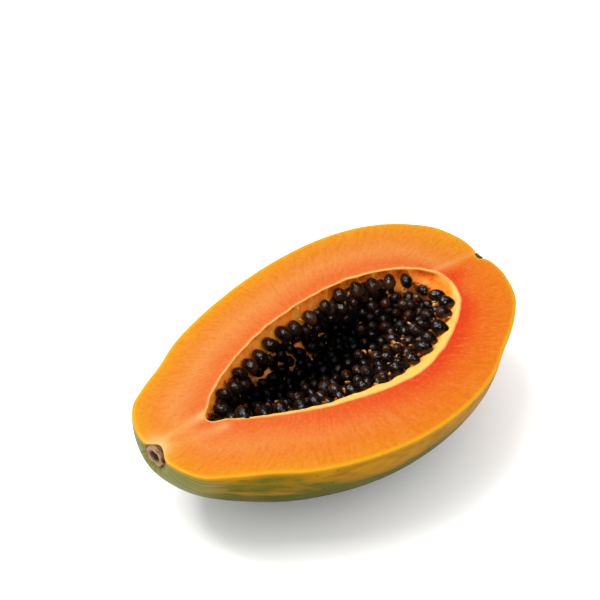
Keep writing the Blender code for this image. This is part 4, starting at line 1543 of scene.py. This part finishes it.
STALK_PLUG = STALK_SCAR._replace(radius=0.80 * STALK_SCAR.radius, drop=0.75 * STALK_SCAR.drop)
cork = cork_material("corky stalk scar", "1A0F08", "523822", "8C7050")
remnant = cork_material("dry blossom remnant", "181009", "33230F", "5A4022")
scar_piece(
    "stalk_scar", "stem_scar", STALK_PLUG, cork, rise=0.8 * MM, hollow=1.1 * MM, inset=0.6 * MM
)
scar_piece(
    "blossom_remnant", "blossom_scar", BLOSSOM_SCAR, remnant, rise=0.4 * MM, hollow=0.3 * MM, inset=0.5 * MM
)

# %% [markdown]
# ## Floor, light and camera
#
# The fruit lies on white paper in a bright studio. A white world gives the even part of the light.
# It is hidden from reflections, because wet black seeds that mirror a white room look grey. A wide
# soft box high on the left gives the cut face its light and the floor its short shadow, and a small
# lamp beside it puts crisp glints on the wet seeds. The Standard view transform keeps white paper
# white.

# %% White floor
FLOOR_HALF = 3.0
FLOOR_GAP = 0.05 * MM


def paper_material():
    """Plain white paper that bounces light up at the skin."""
    material, tree = new_material("white studio paper")
    shader = add_node(tree, "ShaderNodeBsdfPrincipled", None, {"Base Color": "FCFCFB", "Roughness": 0.7})
    add_node(tree, "ShaderNodeOutputMaterial", None, {"Surface": shader})
    return material


floor_bm = bmesh.new()
bmesh.ops.create_grid(floor_bm, x_segments=4, y_segments=4, size=FLOOR_HALF)
bmesh.ops.translate(floor_bm, verts=floor_bm.verts, vec=(0, 0, -FLOOR_GAP))
floor_mesh = bpy.data.meshes.new("paper_floor")
floor_bm.to_mesh(floor_mesh)
floor_bm.free()
floor_mesh.materials.append(paper_material())
floor = bpy.data.objects.new("paper_floor", floor_mesh)
bpy.context.scene.collection.objects.link(floor)

# %% Studio light
WORLD_STRENGTH = 1.22
SOFT_BOX_DIRECTION = Vector((-0.34, 0.30, 0.89)).normalized()
SOFT_BOX_DISTANCE = 1.1
SOFT_BOX_SIZE = 0.65
SOFT_BOX_POWER = 11.0
GLINT_DIRECTION = Vector((-0.50, 0.42, 0.76)).normalized()
GLINT_DISTANCE = 1.1
GLINT_SIZE = 0.14
GLINT_POWER = 2.0


def add_lamp(name, direction, distance, size, power):
    """A square lamp that points at the fruit."""
    data = bpy.data.lights.new(name, "AREA")
    data.shape = "SQUARE"
    data.size = size
    data.energy = power
    lamp = bpy.data.objects.new(name, data)
    lamp.location = CUT_CENTRE + direction * distance
    lamp.rotation_euler = direction.to_track_quat("Z", "Y").to_euler()
    bpy.context.scene.collection.objects.link(lamp)


world = bpy.data.worlds.new("white studio")
bpy.context.scene.world = world
world.use_nodes = True
world.node_tree.nodes["Background"].inputs["Color"].default_value = (1.0, 1.0, 1.0, 1.0)
world.node_tree.nodes["Background"].inputs["Strength"].default_value = WORLD_STRENGTH
world.cycles_visibility.glossy = False
bpy.context.scene.view_settings.view_transform = "Standard"
add_lamp("soft_box", SOFT_BOX_DIRECTION, SOFT_BOX_DISTANCE, SOFT_BOX_SIZE, SOFT_BOX_POWER)
add_lamp("glint", GLINT_DIRECTION, GLINT_DISTANCE, GLINT_SIZE, GLINT_POWER)

# %% Camera at the photograph's viewing angle
AZIMUTH = math.radians(-50.76)
ELEVATION = math.radians(43.06)
ROLL = math.radians(9.51)
CAMERA_DISTANCE = 1.2125
PICTURE_WIDTH = 600
FOCAL_PIXELS = 2995
SENSOR = 36.0
FRUIT_RIGHT = 10.04 * MM
FRUIT_DOWN = 19.48 * MM

away = Vector((
    math.sin(AZIMUTH) * math.cos(ELEVATION),
    -math.cos(AZIMUTH) * math.cos(ELEVATION),
    math.sin(ELEVATION),
))
level = Vector((math.cos(AZIMUTH), math.sin(AZIMUTH), 0))
upright = away.cross(level)
picture_right = level * math.cos(ROLL) + upright * math.sin(ROLL)
picture_up = upright * math.cos(ROLL) - level * math.sin(ROLL)

camera_data = bpy.data.cameras.new("camera")
camera_data.sensor_width = SENSOR
camera_data.lens = SENSOR * FOCAL_PIXELS / PICTURE_WIDTH
camera = bpy.data.objects.new("camera", camera_data)
turning = Matrix((picture_right, picture_up, away)).transposed()
eye = CUT_CENTRE + away * CAMERA_DISTANCE - picture_right * FRUIT_RIGHT + picture_up * FRUIT_DOWN
camera.matrix_world = Matrix.Translation(eye) @ turning.to_4x4()
bpy.context.scene.collection.objects.link(camera)
bpy.context.scene.camera = camera
